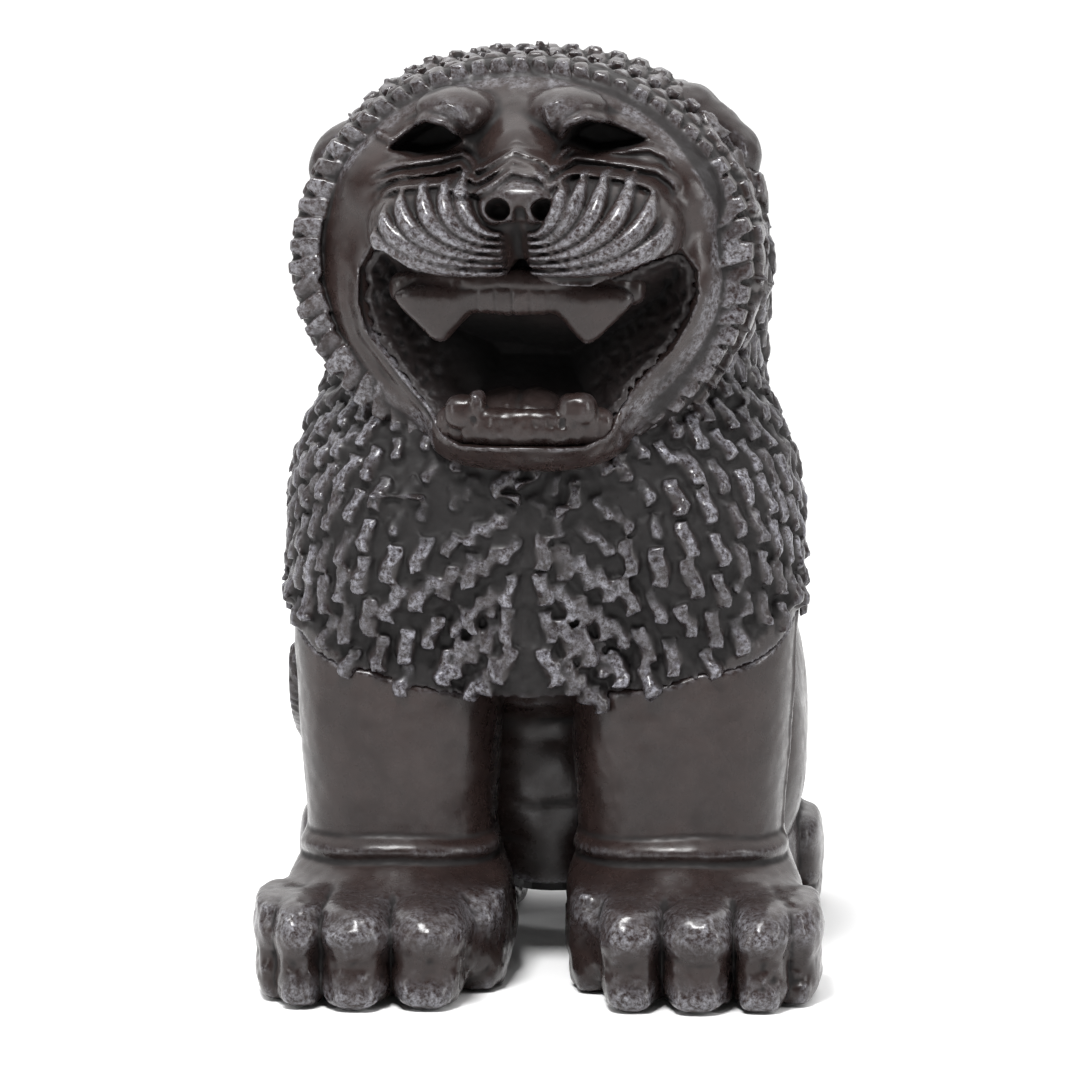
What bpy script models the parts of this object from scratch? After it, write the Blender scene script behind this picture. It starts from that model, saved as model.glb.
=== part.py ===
"""A seated guardian lion statuette, cast in keyed pieces, with open roaring mouth and hollow body.

Frame: +Z up, the lion faces -Y, origin at the bottom centre of its bounding box. Left and right are the
lion's own, so its left side is +X. Sizes in the design are millimetres, and y is counted back from the
toe tips until everything is centred at the end.
"""

import math

import bmesh
import bpy
from mathutils import Matrix, Vector

MM = 0.001

# Driving dimensions, in millimetres.
HEIGHT = 200.0
DEPTH = 158.0
SOLE_Z = 0.5
GAP = 0.3

# Joint between torso and forelegs: a sloping plane under the bib of the mane, and a wall behind the legs.
BIB_FRONT_Y = 22.0
BIB_FRONT_Z = 62.0
BIB_SLOPE = math.radians(34.0)
LEG_BACK_Y = 78.5

# Run of the back, from neck to rump: y, z, half width, half depth and half height of the body there.
SPINE = (
    (66, 150, 48.5, 36, 47),
    (82, 129, 46.5, 38, 47),
    (98, 104, 45, 39, 46),
    (112, 80, 43.5, 38, 43),
    (122, 56, 43, 35, 42),
)
HOLLOW = (
    (66, 150, 37.5, 25, 36),
    (82, 129, 35.5, 27, 36),
    (98, 104, 34, 28, 35),
    (110, 80, 32.5, 27, 33),
    (118, 58, 32, 24, 31),
)

# Joint between torso and haunches.
HAUNCH_PLANE_X = 30.0
HAUNCH_TOP_Z = 84.0
HIND_PAW_INNER_X = 7.5
HIND_PAW_TOP_Z = 21.0
HIND_PAW_FRONT_Y = 101.0
BELLY_Z = 14.0

# Joint between torso and head: a leaning plane behind the face, and an oval seat round the ruff and chin.
HEAD_Z = 155.6
HEAD_HALF_X = 50.4
HEAD_HALF_Z = 46.2
NECK_TOP_Y = 68.0
NECK_BOTTOM_Y = 46.0
NECK_BOTTOM_Z = 111.0

WALL = 10.0
HEAD_YAW = math.radians(-4.0)
HEAD_PIVOT_Y = 60.0

DOWEL_RADIUS = 4.0
NECK_DOWEL_RADIUS = 2.4
DOWEL_FIT = 0.3

PLUG_RADIUS = 7.0
PLUG_HEAD_RADIUS = 9.0
PLUG_Y = 90.0

PAD_RADIUS = 11.0
PAD_THICKNESS = 1.6

# Ears: flat rounded bosses that show a little past the ruff at its upper corners.
EAR_RADII = (10.2, 8.2, 11.4)
EAR_CENTRE = (38.6, 61.5, 175.8)
EAR_LEAN = math.radians(12.0)

MOUTH_TOP_Z = 154.0
MOUTH_BOTTOM_Z = 116.5
MOUTH_TOP_HALF = 33.0
MOUTH_BOTTOM_HALF = 17.0
MOUTH_NARROW_Y = 33.5
MOUTH_BACK_Y = 43.0
LINER_WALL = 1.8
LINER_FRONT_Y = 20.0
MOUTH_X = -3.0
TEETH_X = -3.4


def clear_scene():
    for item in list(bpy.data.objects):
        bpy.data.objects.remove(item, do_unlink=True)


def at(x, y, z):
    """A design point in metres, with y moved from the toe tips to the middle of the body."""
    return Vector((x * MM, (y - DEPTH / 2) * MM, z * MM))


def turned_head():
    """The small turn of the head to its right, about a vertical line through the neck."""
    pivot = Matrix.Translation(at(0, HEAD_PIVOT_Y, 0))
    return pivot @ Matrix.Rotation(HEAD_YAW, 4, "Z") @ pivot.inverted()


def add_mass(bm, centre, radii, tilt=0.0, turn=None):
    """Adds one ellipsoid of clay, tilted about X by tilt degrees."""
    matrix = Matrix.Translation(at(*centre)) @ Matrix.Rotation(math.radians(tilt), 4, "X")
    matrix = matrix @ Matrix.Diagonal((radii[0] * MM, radii[1] * MM, radii[2] * MM, 1.0))
    if turn is not None:
        matrix = turn @ matrix
    bmesh.ops.create_icosphere(bm, subdivisions=4, radius=1.0, matrix=matrix)


def add_roll(bm, start, end, start_radius, end_radius, turn=None, steps=9):
    """Adds a tapering roll of clay between two points."""
    for step in range(steps):
        t = step / (steps - 1)
        centre = [a + (b - a) * t for a, b in zip(start, end)]
        radius = start_radius + (end_radius - start_radius) * t
        add_mass(bm, centre, (radius, radius, radius), turn=turn)


def add_spine(bm, knots, between):
    """Adds masses along a row of (y, z, half width, half depth, half height), close enough to read as one."""
    for first, second in zip(knots, knots[1:]):
        for step in range(between):
            t = step / between
            y, z, rx, ry, rz = (a + (b - a) * t for a, b in zip(first, second))
            add_mass(bm, (0, y, z), (rx, ry, rz))
    y, z, rx, ry, rz = knots[-1]
    add_mass(bm, (0, y, z), (rx, ry, rz))


def add_column(bm, x, y, low_z, high_z, half_x, half_y):
    """Adds an upright column with an oval section."""
    matrix = Matrix.Translation(at(x, y, (low_z + high_z) / 2))
    matrix = matrix @ Matrix.Diagonal((half_x * MM, half_y * MM, (high_z - low_z) * MM, 1.0))
    bmesh.ops.create_cone(bm, cap_ends=True, segments=48, radius1=1.0, radius2=1.0, depth=1.0, matrix=matrix)


def linked(name, bm):
    """Turns the working mesh into an object of that name."""
    mesh = bpy.data.meshes.new(name)
    bm.to_mesh(mesh)
    bm.free()
    item = bpy.data.objects.new(name, mesh)
    bpy.context.scene.collection.objects.link(item)
    return item


def bake(item):
    """Replaces the object's mesh with its evaluated one and drops the modifiers."""
    bpy.context.view_layer.update()
    graph = bpy.context.evaluated_depsgraph_get()
    mesh = bpy.data.meshes.new_from_object(item.evaluated_get(graph))
    old = item.data
    item.modifiers.clear()
    item.data = mesh
    bpy.data.meshes.remove(old)


def moulded(item, voxel, smoothing, triangles):
    """Fuses overlapping masses into one skin, smooths it and brings it down to about this many triangles."""
    fuse = item.modifiers.new("fuse", "REMESH")
    fuse.mode = "VOXEL"
    fuse.voxel_size = voxel * MM
    relax = item.modifiers.new("relax", "SMOOTH")
    relax.factor = 0.5
    relax.iterations = smoothing
    bake(item)
    item.data.calc_loop_triangles()
    thin = item.modifiers.new("thin", "DECIMATE")
    thin.ratio = min(1.0, triangles / len(item.data.loop_triangles))
    bake(item)


def combine(item, other, operation):
    """Joins, cuts or intersects the object with another one, which is used up."""
    step = item.modifiers.new("combine", "BOOLEAN")
    step.operation = operation
    step.solver = "EXACT"
    step.object = other
    bake(item)
    bpy.data.objects.remove(other, do_unlink=True)


def copy_of(item, name):
    """A second object with its own copy of the mesh."""
    other = item.copy()
    other.data = item.data.copy()
    other.name = name
    bpy.context.scene.collection.objects.link(other)
    return other


def box(low, high):
    """A box between two design corners."""
    bm = bmesh.new()
    a, b = at(*low), at(*high)
    matrix = Matrix.Translation((a + b) / 2) @ Matrix.Diagonal((*(b - a), 1.0))
    bmesh.ops.create_cube(bm, size=1.0, matrix=matrix)
    return linked("box", bm)


def prism_x(outline, low_x, high_x):
    """A closed outline of (y, z) points, extruded along X."""
    bm = bmesh.new()
    verts = [bm.verts.new(at(low_x, y, z)) for y, z in outline]
    face = bm.faces.new(verts)
    made = bmesh.ops.extrude_face_region(bm, geom=[face])
    moved = [v for v in made["geom"] if isinstance(v, bmesh.types.BMVert)]
    bmesh.ops.translate(bm, verts=moved, vec=Vector(((high_x - low_x) * MM, 0, 0)))
    bmesh.ops.recalc_face_normals(bm, faces=bm.faces)
    return linked("prism", bm)


def rod(start, end, radius, segments=20, name="rod"):
    """A straight round rod between two design points."""
    a, b = at(*start), at(*end)
    bm = bmesh.new()
    spin = (b - a).to_track_quat("Z", "Y").to_matrix().to_4x4()
    bmesh.ops.create_cone(
        bm,
        cap_ends=True,
        segments=segments,
        radius1=radius * MM,
        radius2=radius * MM,
        depth=(b - a).length,
        matrix=Matrix.Translation((a + b) / 2) @ spin,
    )
    return linked(name, bm)


def stretched(start, end, extra):
    """The two points with the span between them lengthened by extra at each end."""
    a, b = Vector(start), Vector(end)
    way = (b - a).normalized() * extra
    return tuple(a - way), tuple(b + way)


def bib_z(y):
    """Height of the joint under the bib at y."""
    return BIB_FRONT_Z + math.tan(BIB_SLOPE) * (y - BIB_FRONT_Y)


def foreleg_region(grow):
    """Everything under the bib and in front of the wall behind the forelegs."""
    lift = grow / math.cos(BIB_SLOPE)
    back = LEG_BACK_Y + grow
    outline = [(-20, -20), (back, -20), (back, bib_z(back) + lift), (-20, bib_z(-20) + lift)]
    return prism_x(outline, -90, 90)


def haunch_region(side, grow):
    """The block that a haunch and its hind paw fill beside and under the torso."""
    low_x = HAUNCH_PLANE_X - grow
    thigh = box((low_x, LEG_BACK_Y - grow, -20), (90, 190, HAUNCH_TOP_Z + grow))
    paw_low = (HIND_PAW_INNER_X - grow, HIND_PAW_FRONT_Y - grow, -20)
    paw = box(paw_low, (60, 190, HIND_PAW_TOP_Z + grow))
    combine(thigh, paw, "UNION")
    if side < 0:
        mirror(thigh)
    return thigh


def mirror(item):
    """Flips the object across the middle plane."""
    bm = bmesh.new()
    bm.from_mesh(item.data)
    bmesh.ops.scale(bm, vec=(-1, 1, 1), verts=bm.verts)
    bmesh.ops.reverse_faces(bm, faces=bm.faces)
    bm.to_mesh(item.data)
    bm.free()


def neck_y(z):
    """Where the leaning neck joint stands at height z."""
    lean = (NECK_TOP_Y - NECK_BOTTOM_Y) / (HEIGHT - NECK_BOTTOM_Z)
    return NECK_BOTTOM_Y + lean * (z - NECK_BOTTOM_Z)


def head_region(grow):
    """Everything in front of the neck joint and inside the oval of the head."""
    low, high = 60.0, 240.0
    outline = [(-60, low), (neck_y(low) + grow, low), (neck_y(high) + grow, high), (-60, high)]
    region = prism_x(outline, -90, 90)
    bm = bmesh.new()
    half_x = (HEAD_HALF_X + grow) * MM
    half_z = (HEAD_HALF_Z + grow) * MM
    matrix = Matrix.Translation(at(0, 60, HEAD_Z)) @ Matrix.Diagonal((half_x, 1.0, half_z, 1.0))
    matrix = matrix @ Matrix.Rotation(math.radians(90), 4, "X")
    bmesh.ops.create_cone(bm, cap_ends=True, segments=64, radius1=1.0, radius2=1.0, depth=1.0, matrix=matrix)
    combine(region, linked("barrel", bm), "INTERSECT")
    return region


def toes(bm, side, front_y, turn=None):
    """Five toes: width, sideways place and set-back of each, from the inner toe to the outer."""
    rows = ((11.0, 4.6, 25.0), (21.5, 6.6, 2.0), (36.0, 7.6, 0.0), (48.5, 5.8, 3.0), (55.6, 4.4, 11.0))
    for x, half, back in rows:
        tip = front_y + back
        tall = 9.6 if half > 5 else 8.4
        add_mass(bm, (side * x, tip + 12, 12.8), (half, 12, tall))
        add_mass(bm, (side * x, tip + 9, 6.5), (half * 0.92, 9, 8))
        add_mass(bm, (side * x * 0.97, front_y + 26 + back * 0.3, 10), (half * 0.95, 13, 10))


def build_body():
    """Torso, haunches and hind paws as one skin, to be sliced at the joints."""
    bm = bmesh.new()
    add_mass(bm, (-0.5, 60, 104), (54.5, 38.5, 45))
    add_spine(bm, SPINE, 5)
    add_mass(bm, (0, 98, 44), (36, 32, 33))
    for side in (-1, 1):
        add_mass(bm, (side * 29.5, 55, 93), (25, 32, 32))
    for side in (-1, 1):
        add_mass(bm, (side * 34, 119, 45), (22, 36, 39))
        add_mass(bm, (side * 41, 99, 38), (14, 18, 25))
        add_mass(bm, (side * 33, 133, 12), (26, 22, 14))
        toes(bm, side, 104)
    body = linked("body", bm)
    moulded(body, 1.8, 5, 2900)
    under = box((-90, -20, -40), (90, 200, SOLE_Z))
    combine(body, under, "DIFFERENCE")
    return body


def build_cavity():
    """The hollow inside the torso, kept one wall away from every joint face but the neck."""
    bm = bmesh.new()
    add_mass(bm, (-0.5, 62, 106), (43, 28, 35))
    add_spine(bm, HOLLOW, 4)
    add_mass(bm, (0, 100, 48), (24, 20, 22))
    cavity = linked("cavity", bm)
    moulded(cavity, 2.5, 4, 700)
    combine(cavity, foreleg_region(WALL + 2), "DIFFERENCE")
    combine(cavity, haunch_region(1, WALL), "DIFFERENCE")
    combine(cavity, haunch_region(-1, WALL), "DIFFERENCE")
    return cavity


def build_foreleg(side):
    """One foreleg: an upright column on a broad paw with five toes."""
    bm = bmesh.new()
    add_column(bm, side * 30, 54, 12, 118, 22.0, 24.0)
    add_mass(bm, (side * 30, 55, 22), (23.4, 25, 13))
    add_mass(bm, (side * 33, 34, 12), (25, 28, 12.5))
    add_mass(bm, (side * 31, 50, 14), (23, 25, 16))
    toes(bm, side, 0)
    leg = linked("foreleg", bm)
    moulded(leg, 1.4, 4, 1050)
    combine(leg, box((-90, -20, -40), (90, 200, SOLE_Z)), "DIFFERENCE")
    combine(leg, foreleg_region(0), "INTERSECT")
    inner = box((-90, -20, -40), (6.6, 200, 140)) if side > 0 else box((-6.6, -20, -40), (90, 200, 140))
    combine(leg, inner, "DIFFERENCE")
    return leg


def mouth_outline(inset, count=9):
    """Half of the mouth opening as (x, z), a shield wider at the top, from the bottom middle upwards."""
    points = []
    for step in range(count):
        t = step / (count - 1)
        angle = -math.pi / 2 + math.pi * t
        lift = (1 + math.sin(angle)) / 2
        half = MOUTH_BOTTOM_HALF + (MOUTH_TOP_HALF - MOUTH_BOTTOM_HALF) * lift
        x = (half - inset) * max(0.0, math.cos(angle)) ** 0.3
        mid = (MOUTH_TOP_Z + MOUTH_BOTTOM_Z) / 2
        z = mid + ((MOUTH_TOP_Z - MOUTH_BOTTOM_Z) / 2 - inset) * math.sin(angle)
        points.append((x, z))
    return points


def mouth_prism(inset, front_y, back_y, back_scale, turn):
    """The mouth opening as a solid that narrows towards the throat."""
    right = mouth_outline(inset)
    ring = right + [(-x, z) for x, z in reversed(right[1:-1])]
    mid_z = (MOUTH_TOP_Z + MOUTH_BOTTOM_Z) / 2
    bm = bmesh.new()
    loops = []
    for y, scale in ((front_y, 1.0), (MOUTH_NARROW_Y, 1.0), (back_y, back_scale)):
        loop = []
        for x, z in ring:
            point = at(x * scale + MOUTH_X, y, mid_z + (z - mid_z) * scale)
            loop.append(bm.verts.new(turn @ point))
        loops.append(loop)
    for first, second in zip(loops, loops[1:]):
        for i in range(len(ring)):
            j = (i + 1) % len(ring)
            bm.faces.new((first[i], first[j], second[j], second[i]))
    bm.faces.new(loops[0])
    bm.faces.new(loops[-1])
    bmesh.ops.recalc_face_normals(bm, faces=bm.faces)
    bmesh.ops.triangulate(bm, faces=bm.faces)
    return linked("mouth", bm)


def build_head():
    """The face with its ruff, in front of the neck joint, with mouth pocket, eye sockets and nostrils."""
    turn = turned_head()
    bm = bmesh.new()
    add_mass(bm, (0, 58, 157), (46, 34, 42), turn=turn)
    add_mass(bm, (0, 40, 155), (42, 17, 41), turn=turn)
    for step in range(44):
        angle = 2 * math.pi * step / 44
        z = HEAD_Z + 38.2 * math.sin(angle)
        y = 44 + 0.16 * (z - HEAD_Z)
        fat = 6.6 if step % 2 else 5.4
        add_mass(bm, (43.2 * math.cos(angle), y, z), (fat, 7.5, fat), turn=turn)
    for side in (-1, 1):
        add_mass(bm, (side * 13.5, 20, 160), (19, 14, 11), tilt=-12, turn=turn)
        add_mass(bm, (side * 11.5, 27, 185.5), (10, 9, 7.5), turn=turn)
        add_mass(bm, (side * 27, 31, 170), (13, 10, 10), turn=turn)
        add_roll(bm, (side * 37, 32, 152), (side * 33, 27, 138), 4.5, 4.5, turn=turn)
        add_roll(bm, (side * 33, 27, 138), (side * 18, 19, 117.5), 4.5, 4.5, turn=turn)
    add_roll(bm, (-18, 19, 117.5), (18, 19, 117.5), 4.6, 4.6, turn=turn)
    add_mass(bm, (0, 35, 133), (36, 19, 23), turn=turn)
    add_mass(bm, (0, 31, 121), (27, 17, 10), turn=turn)
    add_roll(bm, (0, 15, 167), (0, 29, 186), 9.5, 9.0, turn=turn)
    add_mass(bm, (0, 8.5, 168.5), (9.6, 6.5, 6.2), turn=turn)
    head = linked("head", bm)
    moulded(head, 1.2, 2, 2700)
    combine(head, head_region(0), "INTERSECT")
    combine(head, mouth_prism(0.0, -10, MOUTH_BACK_Y, 0.72, turn), "DIFFERENCE")
    for side in (-1, 1):
        eye = bmesh.new()
        tilt = Matrix.Rotation(side * math.radians(-9), 4, "Y")
        centre = at(side * 21.5, 27, 178.5)
        matrix = Matrix.Translation(centre) @ tilt @ Matrix.Diagonal((8.6 * MM, 10.0 * MM, 3.9 * MM, 1.0))
        bmesh.ops.create_uvsphere(eye, u_segments=14, v_segments=8, radius=1.0, matrix=turn @ matrix)
        combine(head, linked("eye", eye), "DIFFERENCE")
        nostril = bmesh.new()
        matrix = Matrix.Translation(at(side * 4.5, 3, 167))
        matrix = matrix @ Matrix.Diagonal((2.0 * MM, 3.0 * MM, 1.6 * MM, 1.0))
        bmesh.ops.create_uvsphere(nostril, u_segments=10, v_segments=6, radius=1.0, matrix=turn @ matrix)
        combine(head, linked("nostril", nostril), "DIFFERENCE")
    return head


def build_mouth():
    """The liner cup, both tooth rows and the tongue, each clear of the next by the joint gap."""
    turn = turned_head()
    liner = mouth_prism(GAP, LINER_FRONT_Y, MOUTH_BACK_Y - GAP, 0.72, turn)
    combine(liner, mouth_prism(GAP + LINER_WALL, -10, MOUTH_BACK_Y - 2.8, 0.68, turn), "DIFFERENCE")
    liner.name = "mouth_liner"
    rows = {}
    for name, z, half, fang, fang_x, thick, size in (
        ("upper_teeth", 148.6, 16.5, -9.0, 15.6, 3.4, 2.4),
        ("lower_teeth", 123.4, 10.6, 4.6, 9.0, 2.6, 1.8),
    ):
        bm = bmesh.new()
        count = 25
        for step in range(count):
            angle = math.pi * step / (count - 1)
            x = TEETH_X + half * math.cos(angle)
            y = 33 - 14 * math.sin(angle)
            add_mass(bm, (x, y, z), (size, size, 1.8), turn=turn)
        for step in range(6):
            x = TEETH_X + (step - 2.5) * 3.0
            y = 33 - 14 * math.sin(math.acos((x - TEETH_X) / half)) - 0.4
            add_mass(bm, (x, y, z + math.copysign(2.6, fang)), (1.5, 1.5, 2.8), turn=turn)
        for side in (-1, 1):
            x = TEETH_X + side * fang_x
            y = 24.5
            root = z + math.copysign(1.4, fang)
            add_roll(bm, (x, y, root), (x - side * 1.0, y - 1.0, z + fang), thick, 1.1, turn=turn)
        row = linked(name, bm)
        moulded(row, 0.5, 1, 420)
        rows[name] = row
    bm = bmesh.new()
    add_mass(bm, (TEETH_X, 30.5, 125.6), (7.4, 7.5, 2.6), tilt=12, turn=turn)
    tongue = linked("tongue", bm)
    moulded(tongue, 0.7, 1, 180)
    return liner, rows["upper_teeth"], rows["lower_teeth"], tongue


def ear_shape(side, grow, name):
    """One ear, or its socket when grown by the joint gap."""
    bm = bmesh.new()
    turn = turned_head()
    radii = [r + grow for r in EAR_RADII]
    lean = Matrix.Rotation(side * EAR_LEAN, 4, "Y")
    x, y, z = EAR_CENTRE
    matrix = turn @ Matrix.Translation(at(side * x, y, z)) @ lean
    matrix = matrix @ Matrix.Diagonal((radii[0] * MM, radii[1] * MM, radii[2] * MM, 1.0))
    bmesh.ops.create_uvsphere(bm, u_segments=16, v_segments=9, radius=1.0, matrix=matrix)
    return linked(name, bm)


def tail_shape(grow, name):
    """The tail as a swept tube with a fuller tip, along the right haunch."""
    curve = bpy.data.curves.new(name, "CURVE")
    curve.dimensions = "3D"
    curve.bevel_depth = 1.0 * MM
    curve.bevel_resolution = 2
    curve.use_fill_caps = True
    spline = curve.splines.new("POLY")
    knots = (
        (0, 153, 66),
        (-3, 156, 45),
        (-16, 154, 28),
        (-34, 148, 25),
        (-48, 134, 32),
        (-52, 119, 47),
        (-49, 108, 62),
    )
    count = 26
    spline.points.add(count - 1)
    for i in range(count):
        t = i / (count - 1) * (len(knots) - 1)
        k = min(int(t), len(knots) - 2)
        quad = [Vector(knots[max(0, min(len(knots) - 1, k + j))]) for j in (-1, 0, 1, 2)]
        u = t - k
        point = 0.5 * (
            2 * quad[1]
            + (quad[2] - quad[0]) * u
            + (2 * quad[0] - 5 * quad[1] + 4 * quad[2] - quad[3]) * u**2
            + (3 * quad[1] - quad[0] - 3 * quad[2] + quad[3]) * u**3
        )
        spline.points[i].co = (*at(*point), 1.0)
        tip = i / (count - 1)
        radius = 4.8 + 2.6 * math.exp(-(((tip - 0.9) / 0.1) ** 2))
        if tip > 0.93:
            radius *= 1.0 - 0.55 * ((tip - 0.93) / 0.07) ** 2
        spline.points[i].radius = radius + grow
    item = bpy.data.objects.new(name, curve)
    bpy.context.scene.collection.objects.link(item)
    bpy.context.view_layer.update()
    graph = bpy.context.evaluated_depsgraph_get()
    mesh = bpy.data.meshes.new_from_object(item.evaluated_get(graph))
    bpy.data.objects.remove(item, do_unlink=True)
    bm = bmesh.new()
    bm.from_mesh(mesh)
    bmesh.ops.remove_doubles(bm, verts=bm.verts, dist=0.00001)
    bmesh.ops.recalc_face_normals(bm, faces=bm.faces)
    bpy.data.meshes.remove(mesh)
    return linked(name, bm)


def material(name, colour, roughness):
    made = bpy.data.materials.new(name)
    made.use_nodes = True
    shader = made.node_tree.nodes["Principled BSDF"]
    shader.inputs["Base Color"].default_value = (*colour, 1.0)
    shader.inputs["Roughness"].default_value = roughness
    made.diffuse_color = (*colour, 1.0)
    return made


def finish(item, name, look):
    """Names the piece, gives it its one material and shades it smooth between sharp edges."""
    item.name = name
    item.data.name = name
    item.data.materials.clear()
    item.data.materials.append(look)
    item.data.shade_smooth()
    item.data.set_sharp_from_angle(angle=math.radians(38))


def stand_on_origin(items):
    """Moves every piece so that the bounding box of them all stands centred on the origin."""
    low = [math.inf] * 3
    high = [-math.inf] * 3
    for item in items:
        for vertex in item.data.vertices:
            for axis in range(3):
                low[axis] = min(low[axis], vertex.co[axis])
                high[axis] = max(high[axis], vertex.co[axis])
    shift = Vector((-(low[0] + high[0]) / 2, -(low[1] + high[1]) / 2, -low[2]))
    for item in items:
        item.location = shift


def build():
    cast = material("brown_cast", (0.047, 0.036, 0.031), 0.4)
    cast_light = material("rubbed_cast", (0.085, 0.08, 0.085), 0.36)
    cast_dark = material("dark_cast", (0.02, 0.014, 0.012), 0.5)
    tooth = material("rubbed_teeth", (0.075, 0.066, 0.066), 0.36)
    tongue_look = material("tongue_brown", (0.06, 0.032, 0.026), 0.4)
    wood = material("dowel_beech", (0.55, 0.38, 0.22), 0.6)
    felt = material("felt_black", (0.02, 0.02, 0.022), 0.95)
    rubber = material("plug_rubber", (0.03, 0.03, 0.03), 0.8)

    body = build_body()
    pieces = {}
    for side, word in ((1, "left"), (-1, "right")):
        haunch = copy_of(body, "hindleg_" + word)
        combine(haunch, haunch_region(side, 0), "INTERSECT")
        pieces["hindleg_" + word] = haunch
        pieces["foreleg_" + word] = build_foreleg(side)

    torso = body
    combine(torso, foreleg_region(GAP), "DIFFERENCE")
    combine(torso, haunch_region(1, GAP), "DIFFERENCE")
    combine(torso, haunch_region(-1, GAP), "DIFFERENCE")
    combine(torso, box((-90, -20, -40), (90, 200, BELLY_Z)), "DIFFERENCE")
    combine(torso, build_cavity(), "DIFFERENCE")
    combine(torso, head_region(GAP), "DIFFERENCE")
    pieces["torso"] = torso

    head = build_head()
    pieces["head"] = head
    liner, upper, lower, tongue = build_mouth()
    pieces["mouth_liner"] = liner
    pieces["upper_teeth"] = upper
    pieces["lower_teeth"] = lower
    pieces["tongue"] = tongue

    for side, word in ((1, "left"), (-1, "right")):
        combine(head, ear_shape(side, GAP, "socket"), "DIFFERENCE")
        combine(torso, ear_shape(side, GAP, "socket"), "DIFFERENCE")
        pieces["ear_" + word] = ear_shape(side, 0.0, "ear_" + word)

    tail = tail_shape(0.0, "tail")
    combine(torso, tail_shape(GAP, "groove"), "DIFFERENCE")
    combine(pieces["hindleg_right"], tail_shape(GAP, "groove"), "DIFFERENCE")
    pieces["tail"] = tail

    for side, word in ((1, "left"), (-1, "right")):
        leg = pieces["foreleg_" + word]
        haunch = pieces["hindleg_" + word]
        joints = (
            ("foreleg_dowel_", (side * 30, 54, 68), (side * 30, 54, 92), DOWEL_RADIUS, (torso, leg)),
            ("hindleg_dowel_", (side * 22.5, 126, 50), (side * 42, 126, 50), DOWEL_RADIUS, (torso, haunch)),
            ("neck_dowel_", (side * 36, 45, 146), (side * 36, 62, 146), NECK_DOWEL_RADIUS, (torso, head)),
        )
        for prefix, start, end, radius, hosts in joints:
            bore_start, bore_end = stretched(start, end, DOWEL_FIT)
            for host in hosts:
                combine(host, rod(bore_start, bore_end, radius + DOWEL_FIT), "DIFFERENCE")
            pieces[prefix + word] = rod(start, end, radius)
        for prefix, host, y in (("pad_front_", leg, 30), ("pad_rear_", haunch, 132)):
            low, high = (side * 35, y, -1), (side * 35, y, PAD_THICKNESS + GAP)
            combine(host, rod(low, high, PAD_RADIUS + GAP, 28), "DIFFERENCE")
            pieces[prefix + word] = rod((side * 35, y, 0), (side * 35, y, PAD_THICKNESS), PAD_RADIUS, 28)

    combine(torso, rod((0, PLUG_Y, 5), (0, PLUG_Y, 40), PLUG_RADIUS + GAP, 24), "DIFFERENCE")
    plug = rod((0, PLUG_Y, BELLY_Z - 2.4), (0, PLUG_Y, BELLY_Z + 9), PLUG_RADIUS, 24)
    plug_head = rod((0, PLUG_Y, BELLY_Z - 2.6), (0, PLUG_Y, BELLY_Z - GAP), PLUG_HEAD_RADIUS, 24)
    combine(plug, plug_head, "UNION")
    pieces["belly_plug"] = plug

    for name, item in list(pieces.items()):
        look = cast
        if name.startswith("ear"):
            look = cast_light
        elif name == "mouth_liner":
            look = cast_dark
        elif name.endswith("teeth"):
            look = tooth
        elif name == "tongue":
            look = tongue_look
        elif "dowel" in name:
            look = wood
        elif name.startswith("pad"):
            look = felt
        elif name == "belly_plug":
            look = rubber
        finish(item, name, look)
    stand_on_origin(list(pieces.values()))


clear_scene()
build()
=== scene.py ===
"""Looks for a cast seated lion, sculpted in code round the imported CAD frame.

The lion is built as "clay": signed distance grids in millimetres, in the sculptor's axes. There x is to
the lion's left, y runs back from the front of the toes and z is height. Each finished grid is meshed,
carried to the frame and takes the place of its CAD node.
"""

import math

import bpy
import numpy as np
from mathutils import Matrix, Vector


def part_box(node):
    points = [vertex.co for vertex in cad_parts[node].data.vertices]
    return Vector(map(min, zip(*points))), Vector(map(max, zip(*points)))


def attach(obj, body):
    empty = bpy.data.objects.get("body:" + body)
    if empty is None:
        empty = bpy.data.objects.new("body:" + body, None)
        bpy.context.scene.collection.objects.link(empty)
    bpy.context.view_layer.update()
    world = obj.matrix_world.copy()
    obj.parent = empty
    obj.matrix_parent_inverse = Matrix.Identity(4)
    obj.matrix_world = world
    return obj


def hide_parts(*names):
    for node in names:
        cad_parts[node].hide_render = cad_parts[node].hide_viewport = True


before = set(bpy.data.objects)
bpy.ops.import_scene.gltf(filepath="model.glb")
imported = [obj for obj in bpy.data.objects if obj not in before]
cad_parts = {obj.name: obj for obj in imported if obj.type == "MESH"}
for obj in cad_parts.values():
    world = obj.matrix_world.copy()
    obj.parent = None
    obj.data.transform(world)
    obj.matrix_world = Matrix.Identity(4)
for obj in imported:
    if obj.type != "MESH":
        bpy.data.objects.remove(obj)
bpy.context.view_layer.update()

import openvdb
from mathutils import Vector

# ------------------------------------------------------------------ the frame, and the lion's leading sizes

MM = 0.001
PAD_Y = 30.0                                    # a front pad's centre, counted back from the toes
FRONT_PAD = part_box("pad_front_left")
TOE_LINE = (FRONT_PAD[0].y + FRONT_PAD[1].y) / 2 / MM - PAD_Y
SOLE_Z = 0.5

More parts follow.
